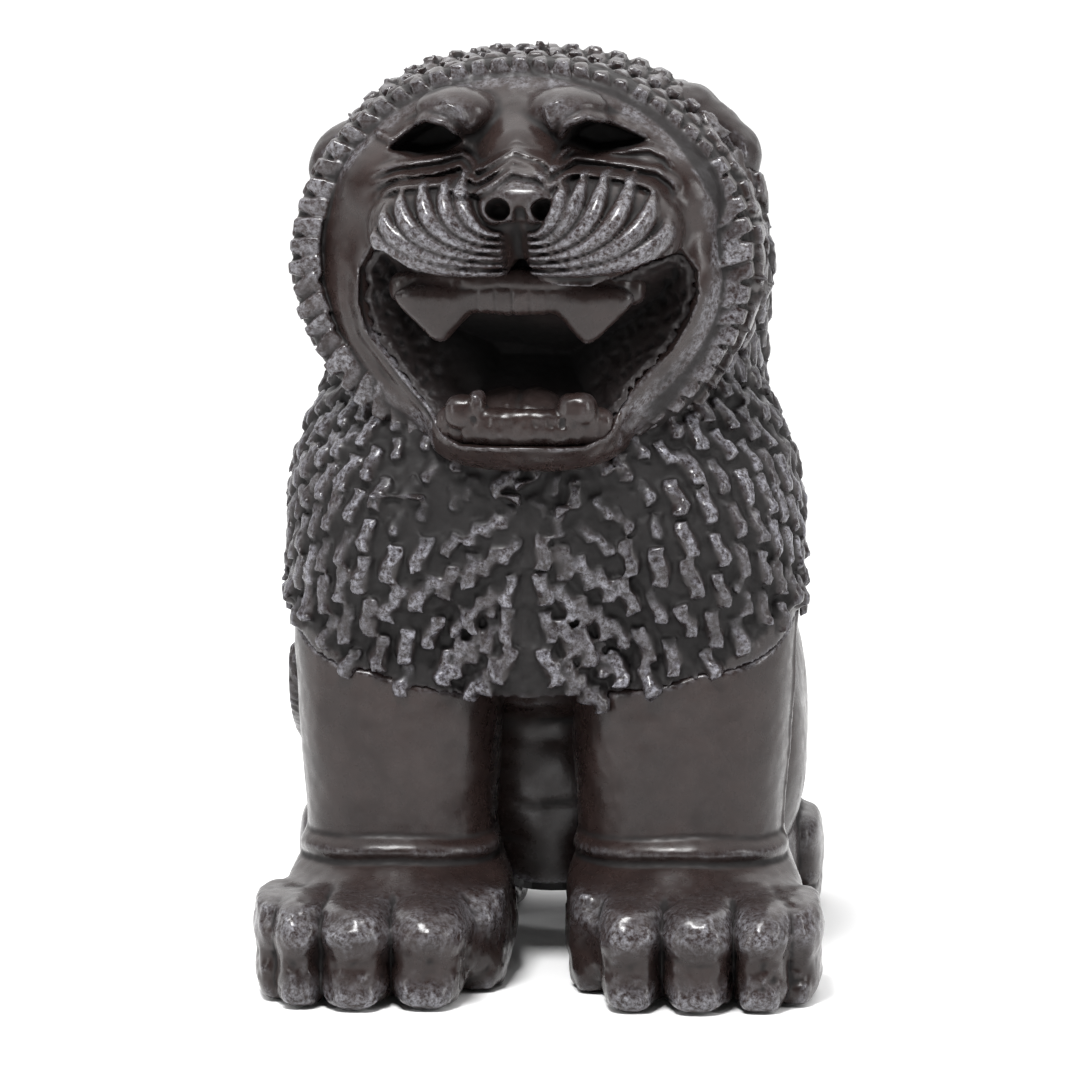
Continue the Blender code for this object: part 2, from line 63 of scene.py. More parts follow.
HEAD_YAW = math.radians(-4.0)                   # the head looks a little to its right
YAW_AXIS_Y = 60.0
HEAD_LIFT = 1.3                                 # the head's own axes sit this much below the frame's
FACE_X = -2.9                                   # middle of the oval that the ruff makes, in the head's axes
FACE_Z = 154.1
RUFF_HALF_X = 49.2
RUFF_HALF_Z = 43.0
RUFF_Y = 41.0                                   # the ruff's front ring leans back a little as it rises
RUFF_LEAN = 0.10
RUFF_BAND = 3.6                                 # the ring's middle lies this far inside the oval

BIB_FRONT_Y = 22.0                              # the sloping joint over the forelegs starts here
BIB_FRONT_Z = 62.0
BIB_SLOPE = math.tan(math.radians(34.0))
LEG_BACK_Y = 78.5
LEG_CENTRE_Y = 54.0
LEG_SIDES = {-1: (-31.0, 21.4), 1: (29.3, 23.3)}     # middle and half width of each foreleg
LEG_HALF_Y = 24.0
LEG_TOP_Z = 112.0
COLUMN_BLEND = 4.5
HEM_Z = 61.5                                    # the mane's lower edge: lowest height, rise to the sides
HEM_RISE = 17.0                                 # and its slope towards the back
HEM_SLOPE = 0.88
HEM_HALF_X = 53.0
BACK_HEM_SLOPE = 0.9
MANE_SINK = 2.2                                 # how far the forelegs are sunk under the mane
HAUNCH_X = 30.0                                 # joint faces of the haunch and of the hind paw
HAUNCH_TOP_Z = 84.0
HIND_PAW_X = 7.5
HIND_PAW_TOP_Z = 21.0
HIND_PAW_FRONT_Y = 101.0
BELLY_Z = 14.0
NECK_TOP_Y = 68.0                               # the leaning plane between head and neck
NECK_BOTTOM_Y = 46.0
NECK_BOTTOM_Z = 111.0
NECK_LEAN = (NECK_TOP_Y - NECK_BOTTOM_Y) / (200.0 - NECK_BOTTOM_Z)

FINE = 0.5                                      # grid steps
PAW_STEP = 0.53
MANE_STEP = 0.62
MEDIUM = 0.62
COARSE = 0.8

FAR = 20.0                                      # the distance that empty clay starts with
FINE_ROUNDS = 8                                   # rounds of averaging that tell small bumps and
BROAD_ROUNDS = 50                                 # broad ones from the skin around them
LEAST_PART = 400                                # a loose crumb of a mesh has fewer points than this

rng = np.random.default_rng(11)
NOISE_SIDE = 64
NOISE_TABLE = np.random.default_rng(5).random((NOISE_SIDE,) * 3).astype(np.float32) * 2 - 1


# ------------------------------------------------------------------ noise and small helpers

def noise(x, y, z, size, shift=0.0):
    """Smooth value noise from -1 to 1, with lumps about size millimetres apart."""
    total = 0.0
    cells = []
    for value in (x, y, z):
        value = np.asarray(value, np.float32) / np.float32(size) + np.float32(shift)
        low = np.floor(value).astype(np.int32)
        part = value - low
        cells.append((low, part * part * (3 - 2 * part)))
    for corner in range(8):
        picks = [(corner >> axis) & 1 for axis in range(3)]
        weight = 1.0
        place = []
        for (low, part), pick in zip(cells, picks):
            weight = weight * (part if pick else 1 - part)
            place.append((low + pick) % NOISE_SIDE)
        total = total + weight * NOISE_TABLE[place[0], place[1], place[2]]
    return total


def bump(value, width):
    """A soft hump, 1 in the middle and near 0 at twice the width."""
    return np.exp(-(value / width) ** 2)


def ramp(value, low, high):
    """0 at low and 1 at high, with soft ends."""
    part = np.clip((value - low) / (high - low), 0.0, 1.0)
    return part * part * (3 - 2 * part)


def bib_z(y):
    """Height of the mane's lower edge, and of the joint under it, this far back."""
    return BIB_FRONT_Z + BIB_SLOPE * (y - BIB_FRONT_Y)


def neck_y(z):
    """The leaning plane where the head casting ends."""
    return NECK_BOTTOM_Y + NECK_LEAN * (z - NECK_BOTTOM_Z)


def smooth_min(a, b, blend):
    """The lesser of two distances, rounded over where they are within blend of each other."""
    if blend <= 0:
        return np.minimum(a, b)
    part = np.maximum(blend - np.abs(a - b), 0.0) / blend
    return np.minimum(a, b) - part * part * blend / 4


# ------------------------------------------------------------------ clay: a signed distance grid

class Clay:
    """A block of sculpting clay: a grid of signed distances, and a grid that says how silvered a place is, by
    rubbing and by painted sheen.
    """

    def __init__(self, low, high, step):
        self.low = np.array(low, np.float32)
        self.step = step
        count = [int(math.ceil((b - a) / step)) + 1 for a, b in zip(low, high)]
        axes = [self.low[i] + step * np.arange(count[i], dtype=np.float32) for i in range(3)]
        self.x = axes[0][:, None, None]
        self.y = axes[1][None, :, None]
        self.z = axes[2][None, None, :]
        self.axes = axes
        self.d = np.full(count, FAR, np.float32)
        self.tone = np.zeros(count, np.float32)

    def window(self, low, high):
        """The slices of the grid between two corners, and x, y and z there, or None when it is empty."""
        cuts = []
        for i in range(3):
            first = max(0, int(math.floor((low[i] - self.low[i]) / self.step)))
            last = min(self.d.shape[i], int(math.ceil((high[i] - self.low[i]) / self.step)) + 1)
            if last - first < 2:
                return None
            cuts.append(slice(first, last))
        place = (self.x[cuts[0]], self.y[:, cuts[1]], self.z[:, :, cuts[2]])
        return tuple(cuts), place

    def change(self, low, high, rule, margin=7.0):
        """Replaces the distances d in a window by rule(d, x, y, z)."""
        found = self.window(np.array(low) - margin, np.array(high) + margin)
        if found:
            cuts, place = found
            self.d[cuts] = rule(self.d[cuts], *place)

    def add(self, shape, blend=0.0):
        """Grows a shape onto the clay."""
        low, high, rule = shape
        self.change(low, high, lambda d, x, y, z: smooth_min(d, rule(x, y, z), blend), blend + 2)

    def cut(self, shape, blend=0.0):
        """Carves a shape out of the clay."""
        low, high, rule = shape
        self.change(low, high, lambda d, x, y, z: -smooth_min(-d, rule(x, y, z), blend), blend + 2)

    def relief(self, rule, band=4.0):
        """Raises the surface by rule(x, y, z), worked out only near it."""
        near = np.nonzero(np.abs(self.d) < band)
        x, y, z = (self.axes[i][near[i]] for i in range(3))
        self.d[near] -= rule(x, y, z).astype(np.float32)

    def paint(self, rule, band=2.5):
        """Adds rule(x, y, z) to the silver tone near the surface: rubbing, and painted sheen."""
        near = np.nonzero(np.abs(self.d) < band)
        x, y, z = (self.axes[i][near[i]] for i in range(3))
        self.tone[near] += rule(x, y, z).astype(np.float32)

    def sample(self, grid, points):
        """The grid's values at points, in millimetres."""
        place = (points - self.low) / self.step
        base = np.clip(np.floor(place).astype(int), 0, np.array(grid.shape) - 2)
        part = np.clip(place - base, 0, 1)
        total = np.zeros(len(points))
        for corner in range(8):
            pick = np.array([(corner >> axis) & 1 for axis in range(3)])
            weight = np.prod(np.where(pick, part, 1 - part), axis=1)
            at = base + pick
            total += weight * grid[at[:, 0], at[:, 1], at[:, 2]]
        return total

    def normals(self, points, reach=1.2):
        """Which way is outward at points."""
        out = np.zeros_like(points)
        for axis in range(3):
            ahead = np.zeros(3)
            ahead[axis] = reach
            out[:, axis] = self.sample(self.d, points + ahead) - self.sample(self.d, points - ahead)
        return out / np.maximum(np.linalg.norm(out, axis=1, keepdims=True), 1e-6)

    def settle(self, points, times=6):
        """Moves points onto the surface."""
        points = np.array(points, float)
        for _ in range(times):
            points -= self.normals(points) * self.sample(self.d, points)[:, None] * 0.9
        return points

    def polygons(self, limit=None):
        """Points in millimetres and quads of the surface, where limit (a distance grid) bounds it too."""
        d = self.d if limit is None else np.maximum(self.d, limit)
        d = np.clip(d, -2.0, 2.0).astype(np.float32)
        d[0] = d[-1] = 2.0
        d[:, 0] = d[:, -1] = 2.0
        d[:, :, 0] = d[:, :, -1] = 2.0
        grid = openvdb.FloatGrid(2.0)
        grid.copyFromArray(d)
        points, quads = grid.convertToQuads(0.0)
        points = self.low + np.asarray(points, np.float64) * self.step
        quads = np.asarray(quads, np.int64)
        a, b, c, e = (points[quads[:, i]] for i in range(4))
        volume = (np.cross(b - a, c - a) * a).sum() + (np.cross(c - a, e - a) * a).sum()
        return without_crumbs(points, quads[:, ::-1] if volume < 0 else quads)


def without_crumbs(points, quads):
    """The mesh without its small loose parts."""
    label = np.arange(len(points))
    while True:
        lowest = label[quads].min(1)
        joined = label.copy()
        for corner in range(4):
            np.minimum.at(joined, quads[:, corner], lowest)
        joined = joined[joined]
        if (joined == label).all():
            break
        label = joined
    keep = np.bincount(label, minlength=len(points))[label] >= LEAST_PART
    if not keep.any():
        return points, quads
    place = np.cumsum(keep) - 1
    return points[keep], place[quads[keep[quads[:, 0]]]]


# ------------------------------------------------------------------ shapes for the clay: (low, high, rule)

def egg(centre, radii, tilt=0.0, power=2.0):
    """An ellipsoid, boxier as power grows, with its top tilted back by tilt degrees."""
    cx, cy, cz = centre
    rx, ry, rz = radii
    turn = math.radians(tilt)
    c, s = math.cos(turn), math.sin(turn)

    def rule(x, y, z):
        dy, dz = y - cy, z - cz
        a = np.abs(x - cx) / rx
        b = np.abs(c * dy - s * dz) / ry
        e = np.abs(s * dy + c * dz) / rz
        size = (a ** power + b ** power + e ** power) ** (1 / power) + 1e-6
        parts = ((a, rx), (b, ry), (e, rz))
        slope = np.sqrt(sum((part ** (power - 1) / radius) ** 2 for part, radius in parts))
        return (size - 1) / np.maximum(slope * size ** (1 - power), 1e-4)

    reach = max(ry, rz) if tilt else 0
    low = (cx - rx, cy - max(ry, reach), cz - max(rz, reach))
    high = (cx + rx, cy + max(ry, reach), cz + max(rz, reach))
    return low, high, rule


def pillar(centre, radii, plan, profile):
    """A rounded box: rounder in plan as plan nears 2, and squarer on top as profile grows."""
    cx, cy, cz = centre
    rx, ry, rz = radii

    def rule(x, y, z):
        a, b, e = np.abs(x - cx) / rx, np.abs(y - cy) / ry, np.abs(z - cz) / rz
        flat = (a ** plan + b ** plan) ** (1 / plan)
        return ((flat ** profile + e ** profile) ** (1 / profile) - 1) * min(rx, rz) * (0.8 + 0.2 * flat)

    return (cx - rx, cy - ry, cz - rz), (cx + rx, cy + ry, cz + rz), rule


def tube(points, radii):
    """A round rod through points, with a radius at each."""
    points = np.array(points, float)
    radii = np.broadcast_to(np.asarray(radii, float), (len(points),))
    widest = radii.max()

    def rule(x, y, z):
        best = None
        for p, q, rp, rq in zip(points[:-1], points[1:], radii[:-1], radii[1:]):
            along = q - p
            length = (along ** 2).sum()
            dx, dy, dz = x - p[0], y - p[1], z - p[2]
            t = np.clip((dx * along[0] + dy * along[1] + dz * along[2]) / length, 0, 1)
            away = (dx - t * along[0]) ** 2 + (dy - t * along[1]) ** 2 + (dz - t * along[2]) ** 2
            d = np.sqrt(away) - (rp + t * (rq - rp))
            best = d if best is None else np.minimum(best, d)
        return best

    return points.min(0) - widest, points.max(0) + widest, rule


def curve(knots, count):
    """A smooth line through knots, as count points."""
    knots = np.array(knots, float)
    padded = np.vstack([2 * knots[0] - knots[1], knots, 2 * knots[-1] - knots[-2]])
    out = []
    for t in np.linspace(0, len(knots) - 1, count):
        i = min(int(t), len(knots) - 2)
        f = t - i
        p0, p1, p2, p3 = padded[i:i + 4]
        out.append(0.5 * (2 * p1 + (p2 - p0) * f + (2 * p0 - 5 * p1 + 4 * p2 - p3) * f * f
                          + (3 * p1 - p0 - 3 * p2 + p3) * f ** 3))
    return np.array(out)


# ------------------------------------------------------------------ drawing on the front of the head

class Sketch:
    """A relief drawn in front view on x and z: how much each place stands proud, in millimetres."""

    def __init__(self, clay):
        self.x = clay.axes[0][:, None]
        self.z = clay.axes[2][None, :]
        self.height = np.zeros((len(clay.axes[0]), len(clay.axes[2])), np.float32)

    def distance(self, points):
        """Distance to a line through points, and how far along it (0 to 1) the nearest place is."""
        best = np.full(self.height.shape, 1e9, np.float32)
        where = np.zeros_like(best)
        points = np.array(points, float)
        steps = len(points) - 1
        for i in range(steps):
            p, q = points[i], points[i + 1]
            along = q - p
            dx, dz = self.x - p[0], self.z - p[1]
            t = np.clip((dx * along[0] + dz * along[1]) / (along ** 2).sum(), 0, 1)
            away = np.hypot(dx - t * along[0], dz - t * along[1])
            closer = away < best
            best = np.where(closer, away, best)
            where = np.where(closer, (i + t) / steps, where)
        return best, where

    def stroke(self, points, width, height, ends=0.12):
        """A soft ridge (or groove, with height below 0) that fades out at its ends."""
        away, where = self.distance(points)
        fade = ramp(np.minimum(where, 1 - where), -0.01, ends) if ends else 1.0
        self.height += height * bump(away, width) * fade

    def inside(self, outline):
        """Signed distance to a closed outline, below 0 inside."""
        outline = np.array(outline, float)
        away, _ = self.distance(np.vstack([outline, outline[:1]]))
        odd = np.zeros(self.height.shape, bool)
        for p, q in zip(outline, np.roll(outline, -1, axis=0)):
            if p[1] == q[1]:
                continue
            crosses = (p[1] > self.z) != (q[1] > self.z)
            at = p[0] + (self.z - p[1]) * (q[0] - p[0]) / (q[1] - p[1])
            odd ^= crosses & (self.x < at)
        return np.where(odd, -away, away)


# ------------------------------------------------------------------ locks of hair, stamped one by one

LOCK_WINDOW = 3.6                               # a lock reaches this far above and below its place


def axes_at(clay, place, reach, across, along, out):
    """The slices of clay round a place, and the distances there across, along and out from it."""
    found = clay.window(place - reach, place + reach)
    if not found:
        return None
    cuts, (x, y, z) = found
    x, y, z = x - place[0], y - place[1], z - place[2]
    return cuts, *(x * way[0] + y * way[1] + z * way[2] for way in (across, along, out))


def stamp_lock(clay, ground, place, across, along, out, size, hook, tilt, tall, grey):
    """One lock: a domed leaf with a wavy flat-topped ridge along its middle, both following the ground."""
    half_wide, half_long = size
    found = axes_at(clay, place, half_long * 1.25 + 1.5, across, along, out)
    if not found:
        return
    cuts, a, b, c = found
    s = b / half_long
    lift = ground[cuts]
    middle = hook * half_wide * (0.34 * np.sin(2.6 * s) + 0.30 * (s < 0) * s * s)
    width = half_wide * (0.5 - 0.10 * np.cos(3.2 * s + 0.4))
    top = tall * (1.0 - 0.16 * s * s) - tilt * s
    ridge = np.maximum(np.maximum(np.abs(a - middle) - width, np.abs(b) - half_long * 0.9), lift - top)
    leaf = np.abs(a - 0.7 * middle) / (half_wide * 0.93)
    leaf = leaf ** 2.2 + (np.abs(b + 0.3) / (half_long * 1.04)) ** 2.2
    dome = (0.82 * tall - 1.2 * tilt * s) * (1 - leaf ** 1.6)
    shape = np.maximum(np.minimum((lift - dome) * 0.85, ridge), np.abs(c) - LOCK_WINDOW)
    clay.d[cuts] = smooth_min(clay.d[cuts], shape, 0.3).astype(np.float32)
    # silver on each ridge's flat top: rubbing, and a painted sheen where light catches it
    tone = ramp(-(np.abs(a - middle) - width - 0.3), 0, 0.6) * ramp(half_long * 0.95 - np.abs(b), 0, 0.8)
    tone = grey * tone * ramp(lift, top - 0.9, top - 0.3)
    clay.tone[cuts] = np.maximum(clay.tone[cuts], tone.astype(np.float32))


def stamp_locks(clay, places, downs, sizes, hooks, tilts, talls, greys):
    """Locks at places on the surface, each running along its down direction."""
    ground = clay.d.copy()
    places = clay.settle(places)
    settled = np.abs(clay.sample(ground, places)) < 0.5
    outs = clay.normals(places)
    rows = zip(places, downs, outs, sizes, hooks, tilts, talls, greys)
    for keep, (place, down, out, size, hook, tilt, tall, grey) in zip(settled, rows):
        along = -(down - out * (down @ out))
        length = np.linalg.norm(along)
        if not keep or length < 0.25:
            continue
        along /= length
        across = np.cross(along, out)
        stamp_lock(clay, ground, place, across, along, out, size, hook, tilt, tall, grey)


# ------------------------------------------------------------------ from clay to pieces

def spread(points, quads, values, times):
    """Values (one row per point) averaged with their neighbours, times over."""
    start = quads.ravel()
    end = np.roll(quads, -1, axis=1).ravel()
    count = np.maximum(np.bincount(end, minlength=len(points)), 1)
    values = values.astype(float)
    for _ in range(times):
        total = [np.bincount(end, values[start, i], len(points)) for i in range(values.shape[1])]
        values = 0.5 * values + 0.5 * np.stack(total, 1) / count[:, None]
    return values


def point_normals(points, quads):
    """Which way each point of a mesh faces."""
    first, second, third, fourth = (points[quads[:, i]] for i in range(4))
    face = np.cross(third - first, fourth - second)
    out = np.zeros_like(points)
    for corner in range(4):
        for axis in range(3):
            out[:, axis] += np.bincount(quads[:, corner], face[:, axis], len(points))
    return out / np.maximum(np.linalg.norm(out, axis=1, keepdims=True), 1e-9)


def turned(points):
    """Points in the head's own axes, carried to the lion's: turned about the upright yaw axis and lifted."""
    c, s = math.cos(HEAD_YAW), math.sin(HEAD_YAW)
    x, y = points[:, 0], points[:, 1] - YAW_AXIS_Y
    return np.stack([c * x - s * y, s * x + c * y + YAW_AXIS_Y, points[:, 2] + HEAD_LIFT], 1)


def make_piece(name, clay, material, replaces, limit=None, yaw=False, sheen_and_rub_share=1.0, shade_paint=None):
    """Meshes clay as one piece of the lion, noting on every point its silvered places (rubbing, with a
    painted sheen on raised places) and its painted shade in hollows and creases.
    """
    points, quads = clay.polygons(limit)
    points = spread(points, quads, points, 1)
    normals = point_normals(points, quads)
    fine = ((points - spread(points, quads, points, FINE_ROUNDS)) * normals).sum(1)
    broad = ((points - spread(points, quads, points, BROAD_ROUNDS)) * normals).sum(1)
    tone = clay.sample(clay.tone, points)
    # silver share: the tone grid plus raised places; partly rubbing, partly a painted sheen where highlights
    # fall
    wear_and_sheen = np.clip(tone + sheen_and_rub_share * (ramp(fine, 0.03, 0.22) * 0.55 + ramp(broad, 0.25, 1.1) * 0.6), 0, 1.5)
    # painted shade: hollows and creases, small and broad, are marked for darkening
    hollow_shade = np.clip(ramp(-fine, 0.01, 0.12) * 0.7 + ramp(-broad, 0.08, 0.7) * 0.8, 0, 1)
    # more painted shade, given per piece, such as between locks or far inside holes
    if shade_paint:
        hollow_shade = np.maximum(hollow_shade, shade_paint(points))
    if yaw:
        points = turned(points)
    points = (points + np.array([0.0, TOE_LINE, 0.0])) * MM
    mesh = bpy.data.meshes.new(name)
    mesh.vertices.add(len(points))
    mesh.vertices.foreach_set("co", points.ravel().astype(np.float32))
    mesh.loops.add(quads.size)
    mesh.loops.foreach_set("vertex_index", quads.ravel().astype(np.int32))
    mesh.polygons.add(len(quads))
    mesh.polygons.foreach_set("loop_start", np.arange(0, quads.size, 4, dtype=np.int32))
    mesh.update(calc_edges=True)
    mesh.validate()
    mesh.shade_smooth()
    for attribute, values in (("wear_and_sheen", wear_and_sheen), ("hollow_shade", hollow_shade)):
        layer = mesh.attributes.new(attribute, "FLOAT", "POINT")
        layer.data.foreach_set("value", values.astype(np.float32))
    piece = bpy.data.objects.new(name, mesh)
    bpy.context.scene.collection.objects.link(piece)
    mesh.materials.append(material)
    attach(piece, "root")
    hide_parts(*replaces)
    print(name, len(points), "points", 2 * len(quads), "triangles")


# ------------------------------------------------------------------ materials

class Tree:
    """A node tree, with short ways to add and join nodes."""

    def __init__(self, tree):
        self.tree = tree

    def add(self, kind, **values):
        node = self.tree.nodes.new(kind)
        for key, value in values.items():
            setattr(node, key, value)
        return node

    def join(self, source, socket):
        self.tree.links.new(source, socket)

    def ranged(self, source, low, high, to_low=0.0, to_high=1.0):
        node = self.add("ShaderNodeMapRange")
        self.join(source, node.inputs["Value"])
        for key, value in (("From Min", low), ("From Max", high), ("To Min", to_low), ("To Max", to_high)):
            node.inputs[key].default_value = value
        return node.outputs["Result"]

    def maths(self, operation, a, b, clamp=False):
        node = self.add("ShaderNodeMath", operation=operation, use_clamp=clamp)
        for socket, value in zip(node.inputs, (a, b)):
            if isinstance(value, (int, float)):
                socket.default_value = value
            else:
                self.join(value, socket)
        return node.outputs[0]


class Nodes(Tree):
    """A material and its node tree. Textures are laid in object space."""

    def __init__(self, name):
        self.material = bpy.data.materials.new(name)
        self.material.use_nodes = True
        super().__init__(self.material.node_tree)
        self.shader = self.tree.nodes["Principled BSDF"]
        self.coordinates = self.add("ShaderNodeTexCoord").outputs["Object"]

    def attribute(self, name):
        return self.add("ShaderNodeAttribute", attribute_name=name).outputs["Fac"]

    def noise(self, size_mm, detail=3.0, rough=0.55, stretch=None):
        node = self.add("ShaderNodeTexNoise")
        node.inputs["Scale"].default_value = 1000.0 / size_mm
        node.inputs["Detail"].default_value = detail
        node.inputs["Roughness"].default_value = rough
        source = self.coordinates
        if stretch:
            mapping = self.add("ShaderNodeMapping")
            mapping.inputs["Rotation"].default_value = stretch[0]
            mapping.inputs["Scale"].default_value = stretch[1]
            self.join(source, mapping.inputs["Vector"])
            source = mapping.outputs["Vector"]
        self.join(source, node.inputs["Vector"])
        return node.outputs["Fac"]

    def mix(self, share, a, b):
        node = self.add("ShaderNodeMix", data_type="RGBA")
        self.join(share, node.inputs["Factor"])
        for socket, value in ((node.inputs[6], a), (node.inputs[7], b)):
            if isinstance(value, tuple):
                socket.default_value = (*value, 1.0)
            else:
                self.join(value, socket)
        return node.outputs[2]

    def bump(self, height, strength, depth_mm, after=None):
        node = self.add("ShaderNodeBump")
        node.inputs["Strength"].default_value = strength
        node.inputs["Distance"].default_value = depth_mm * MM
        self.join(height, node.inputs["Height"])
        if after is not None:
            self.join(after, node.inputs["Normal"])
        return node.outputs["Normal"]


def cast_material(name, dark, light, grain_and_shade, silver, shine, specular):
    """Dark waxed casting: mottled brown, dull and darkened by painted shade in the hollows, silvered by
    rubbing and by a painted sheen on raised places.
    """
    n = Nodes(name)
    mottle = n.noise(9.0, 5.0, 0.6)
    grain = n.noise(0.9, 4.0, 0.65)
    brown = n.mix(n.ranged(mottle, 0.35, 0.65), dark, light)
    brown = n.mix(n.ranged(grain, 0.4, 0.75, 0.0, 0.35), brown, grain_and_shade)
    hollow_shade = n.attribute("hollow_shade")
    # painted shade: hollows mix toward the darkest colour
    colour = n.mix(n.maths("MULTIPLY", hollow_shade, 0.95, True), brown, grain_and_shade)
    scuffs = n.noise(1.1, 6.0, 0.75)
    scratches = n.noise(1.6, 5.0, 0.7, ((0.5, 0.9, 0.3), (1.0, 6.0, 1.0)))
    broken = n.maths("ADD", n.ranged(scuffs, 0.42, 0.66), n.ranged(scratches, 0.5, 0.68, 0.0, 0.55))
    # silver: rubbing and a painted sheen, kept out of the painted shade
    wear_and_sheen = n.attribute("wear_and_sheen")
    rub_and_sheen = n.maths("MULTIPLY", wear_and_sheen, broken, True)
    rub_and_sheen = n.maths("MULTIPLY", rub_and_sheen, n.maths("SUBTRACT", 1.0, hollow_shade), True)
    colour = n.mix(n.maths("MULTIPLY", rub_and_sheen, 0.64), colour, silver)
    n.join(colour, n.shader.inputs["Base Color"])
    rough = n.ranged(n.noise(3.0, 4.0, 0.6), 0.3, 0.7, shine, shine + 0.16)
    rough = n.maths("ADD", rough, n.maths("MULTIPLY", hollow_shade, 0.42))
    rough = n.maths("SUBTRACT", rough, n.maths("MULTIPLY", wear_and_sheen, 0.10))
    n.join(rough, n.shader.inputs["Roughness"])
    n.shader.inputs["Specular IOR Level"].default_value = specular
    skin = n.bump(n.noise(2.6, 4.0, 0.6), 0.26, 0.14)
    skin = n.bump(n.noise(0.42, 3.0, 0.6), 0.32, 0.05, skin)
    skin = n.bump(n.maths("MULTIPLY", scratches, wear_and_sheen), 0.5, 0.07, skin)
    n.join(skin, n.shader.inputs["Normal"])
    return n.material


def wood_material():
    n = Nodes("dowel_beech")
    rings = n.add("ShaderNodeTexWave", wave_type="RINGS")
    rings.inputs["Scale"].default_value = 260.0
    rings.inputs["Distortion"].default_value = 2.5
    n.join(n.coordinates, rings.inputs["Vector"])
    colour = n.mix(rings.outputs["Fac"], (0.47, 0.27, 0.13), (0.62, 0.40, 0.21))
    n.join(colour, n.shader.inputs["Base Color"])
    n.join(n.ranged(n.noise(1.0), 0.3, 0.7, 0.5, 0.7), n.shader.inputs["Roughness"])
    n.join(n.bump(rings.outputs["Fac"], 0.2, 0.05), n.shader.inputs["Normal"])
    return n.material


def felt_material():
    n = Nodes("felt_black")
    fibres = n.noise(0.35, 6.0, 0.8)
    n.join(n.mix(fibres, (0.012, 0.012, 0.013), (0.04, 0.04, 0.042)), n.shader.inputs["Base Color"])
    n.join(n.ranged(fibres, 0.3, 0.7, 0.85, 1.0), n.shader.inputs["Roughness"])
    n.shader.inputs["Sheen Weight"].default_value = 0.6
    n.join(n.bump(fibres, 0.8, 0.15), n.shader.inputs["Normal"])
    return n.material


def rubber_material():
    n = Nodes("plug_rubber")
    skin = n.noise(0.8, 4.0, 0.6)
    n.join(n.mix(skin, (0.016, 0.015, 0.015), (0.03, 0.028, 0.028)), n.shader.inputs["Base Color"])
    n.join(n.ranged(skin, 0.3, 0.7, 0.5, 0.68), n.shader.inputs["Roughness"])
    n.join(n.bump(skin, 0.3, 0.05), n.shader.inputs["Normal"])
    return n.material


BROWN = cast_material(
    "brown_cast", (0.0142, 0.0088, 0.0080), (0.0235, 0.0152, 0.0138), (0.0040, 0.0030, 0.0031),
    (0.27, 0.27, 0.295), 0.21, 0.31)
# a casting whose silver stands for rubbing and for a painted sheen on the locks
RUB_AND_SHEEN_CAST = cast_material(
    "rubbed_cast", (0.0140, 0.0100, 0.0096), (0.0230, 0.0172, 0.0166), (0.0030, 0.0022, 0.0023),
    (0.34, 0.34, 0.385), 0.20, 0.33)
# a darker casting for the inside of the mouth: painted shade for the shadow there
MOUTH_SHADE_CAST = cast_material(
    "dark_cast", (0.012, 0.0090, 0.0088), (0.019, 0.0150, 0.0147), (0.0015, 0.0012, 0.0013),
    (0.16, 0.155, 0.16), 0.34, 0.2)
TONGUE = cast_material(
    "tongue_brown", (0.020, 0.0135, 0.0125), (0.029, 0.0205, 0.019), (0.003, 0.0022, 0.0022),
    (0.16, 0.155, 0.16), 0.32, 0.4)
WOOD = wood_material()
FELT = felt_material()
RUBBER = rubber_material()


# ------------------------------------------------------------------ body: chest, back, belly and haunches

# back to front along the spine: y, z and the three radii of each mass
SPINE = ((66, 150, 48.5, 36, 47), (82, 129, 46.5, 38, 47), (98, 104, 45, 39, 46), (112, 80, 43.5, 38, 43),
         (122, 56, 43, 35, 42))


def shape_body(clay):
    """The masses that the mane, back, belly and haunches share."""
    chest = egg((-0.5, 60, 104), (54.5, 38.5, 45))
    flank = egg((0, 98, 44), (36, 32, 33))
    clay.add(chest)
    for side in (-1, 1):
        shoulder = egg((side * 29.5, 55, 93), (25, 32, 32))
        clay.add(shoulder, 6)
    for y, z, rx, ry, rz in SPINE:
        clay.add(egg((0, y, z), (rx, ry, rz)), 7)
    clay.add(flank, 7)
    for side in (-1, 1):
        thigh = egg((side * 34, 119, 45), (22, 36, 39), 0, 2.2)
        knee = egg((side * 41, 99, 38), (14, 18, 25))
        heel = egg((side * 33, 133, 12), (26, 22, 14), 0, 2.5)
        clay.add(thigh, 6)
        clay.add(knee, 6)
        clay.add(heel, 5)


def shape_front(clay):
    """The body with the tops of the forelegs grown into the chest."""
    shape_body(clay)
    for side in (-1, 1):
        clay.add(leg_column(side), COLUMN_BLEND)
    breast = egg((-2, 45, 71), (21, 18.5, 14.5))
    clay.add(breast, 6)


def haunch_limit(clay, side):
    """Below 0 where the hind leg casting on one side is."""
    x = side * clay.x
    thigh = np.maximum(np.maximum(HAUNCH_X - x, LEG_BACK_Y - clay.y), clay.z - HAUNCH_TOP_Z)
    paw = np.maximum(np.maximum(HIND_PAW_X - x, HIND_PAW_FRONT_Y - clay.y), clay.z - HIND_PAW_TOP_Z)
    return np.minimum(thigh, paw)


def body_limit(clay):
    """Below 0 where the torso casting is: outside the four legs and behind the head."""
    out = np.maximum(-haunch_limit(clay, 1), -haunch_limit(clay, -1))
    foreleg = np.maximum(clay.z - bib_z(clay.y), clay.y - LEG_BACK_Y) / math.hypot(1, BIB_SLOPE)
    out = np.maximum(out, -foreleg)
    out = np.maximum(out, BELLY_Z + 2.5 * (clay.x / 30) ** 2 - clay.z)
    return np.maximum(out, (neck_limit(clay) - 2.0))


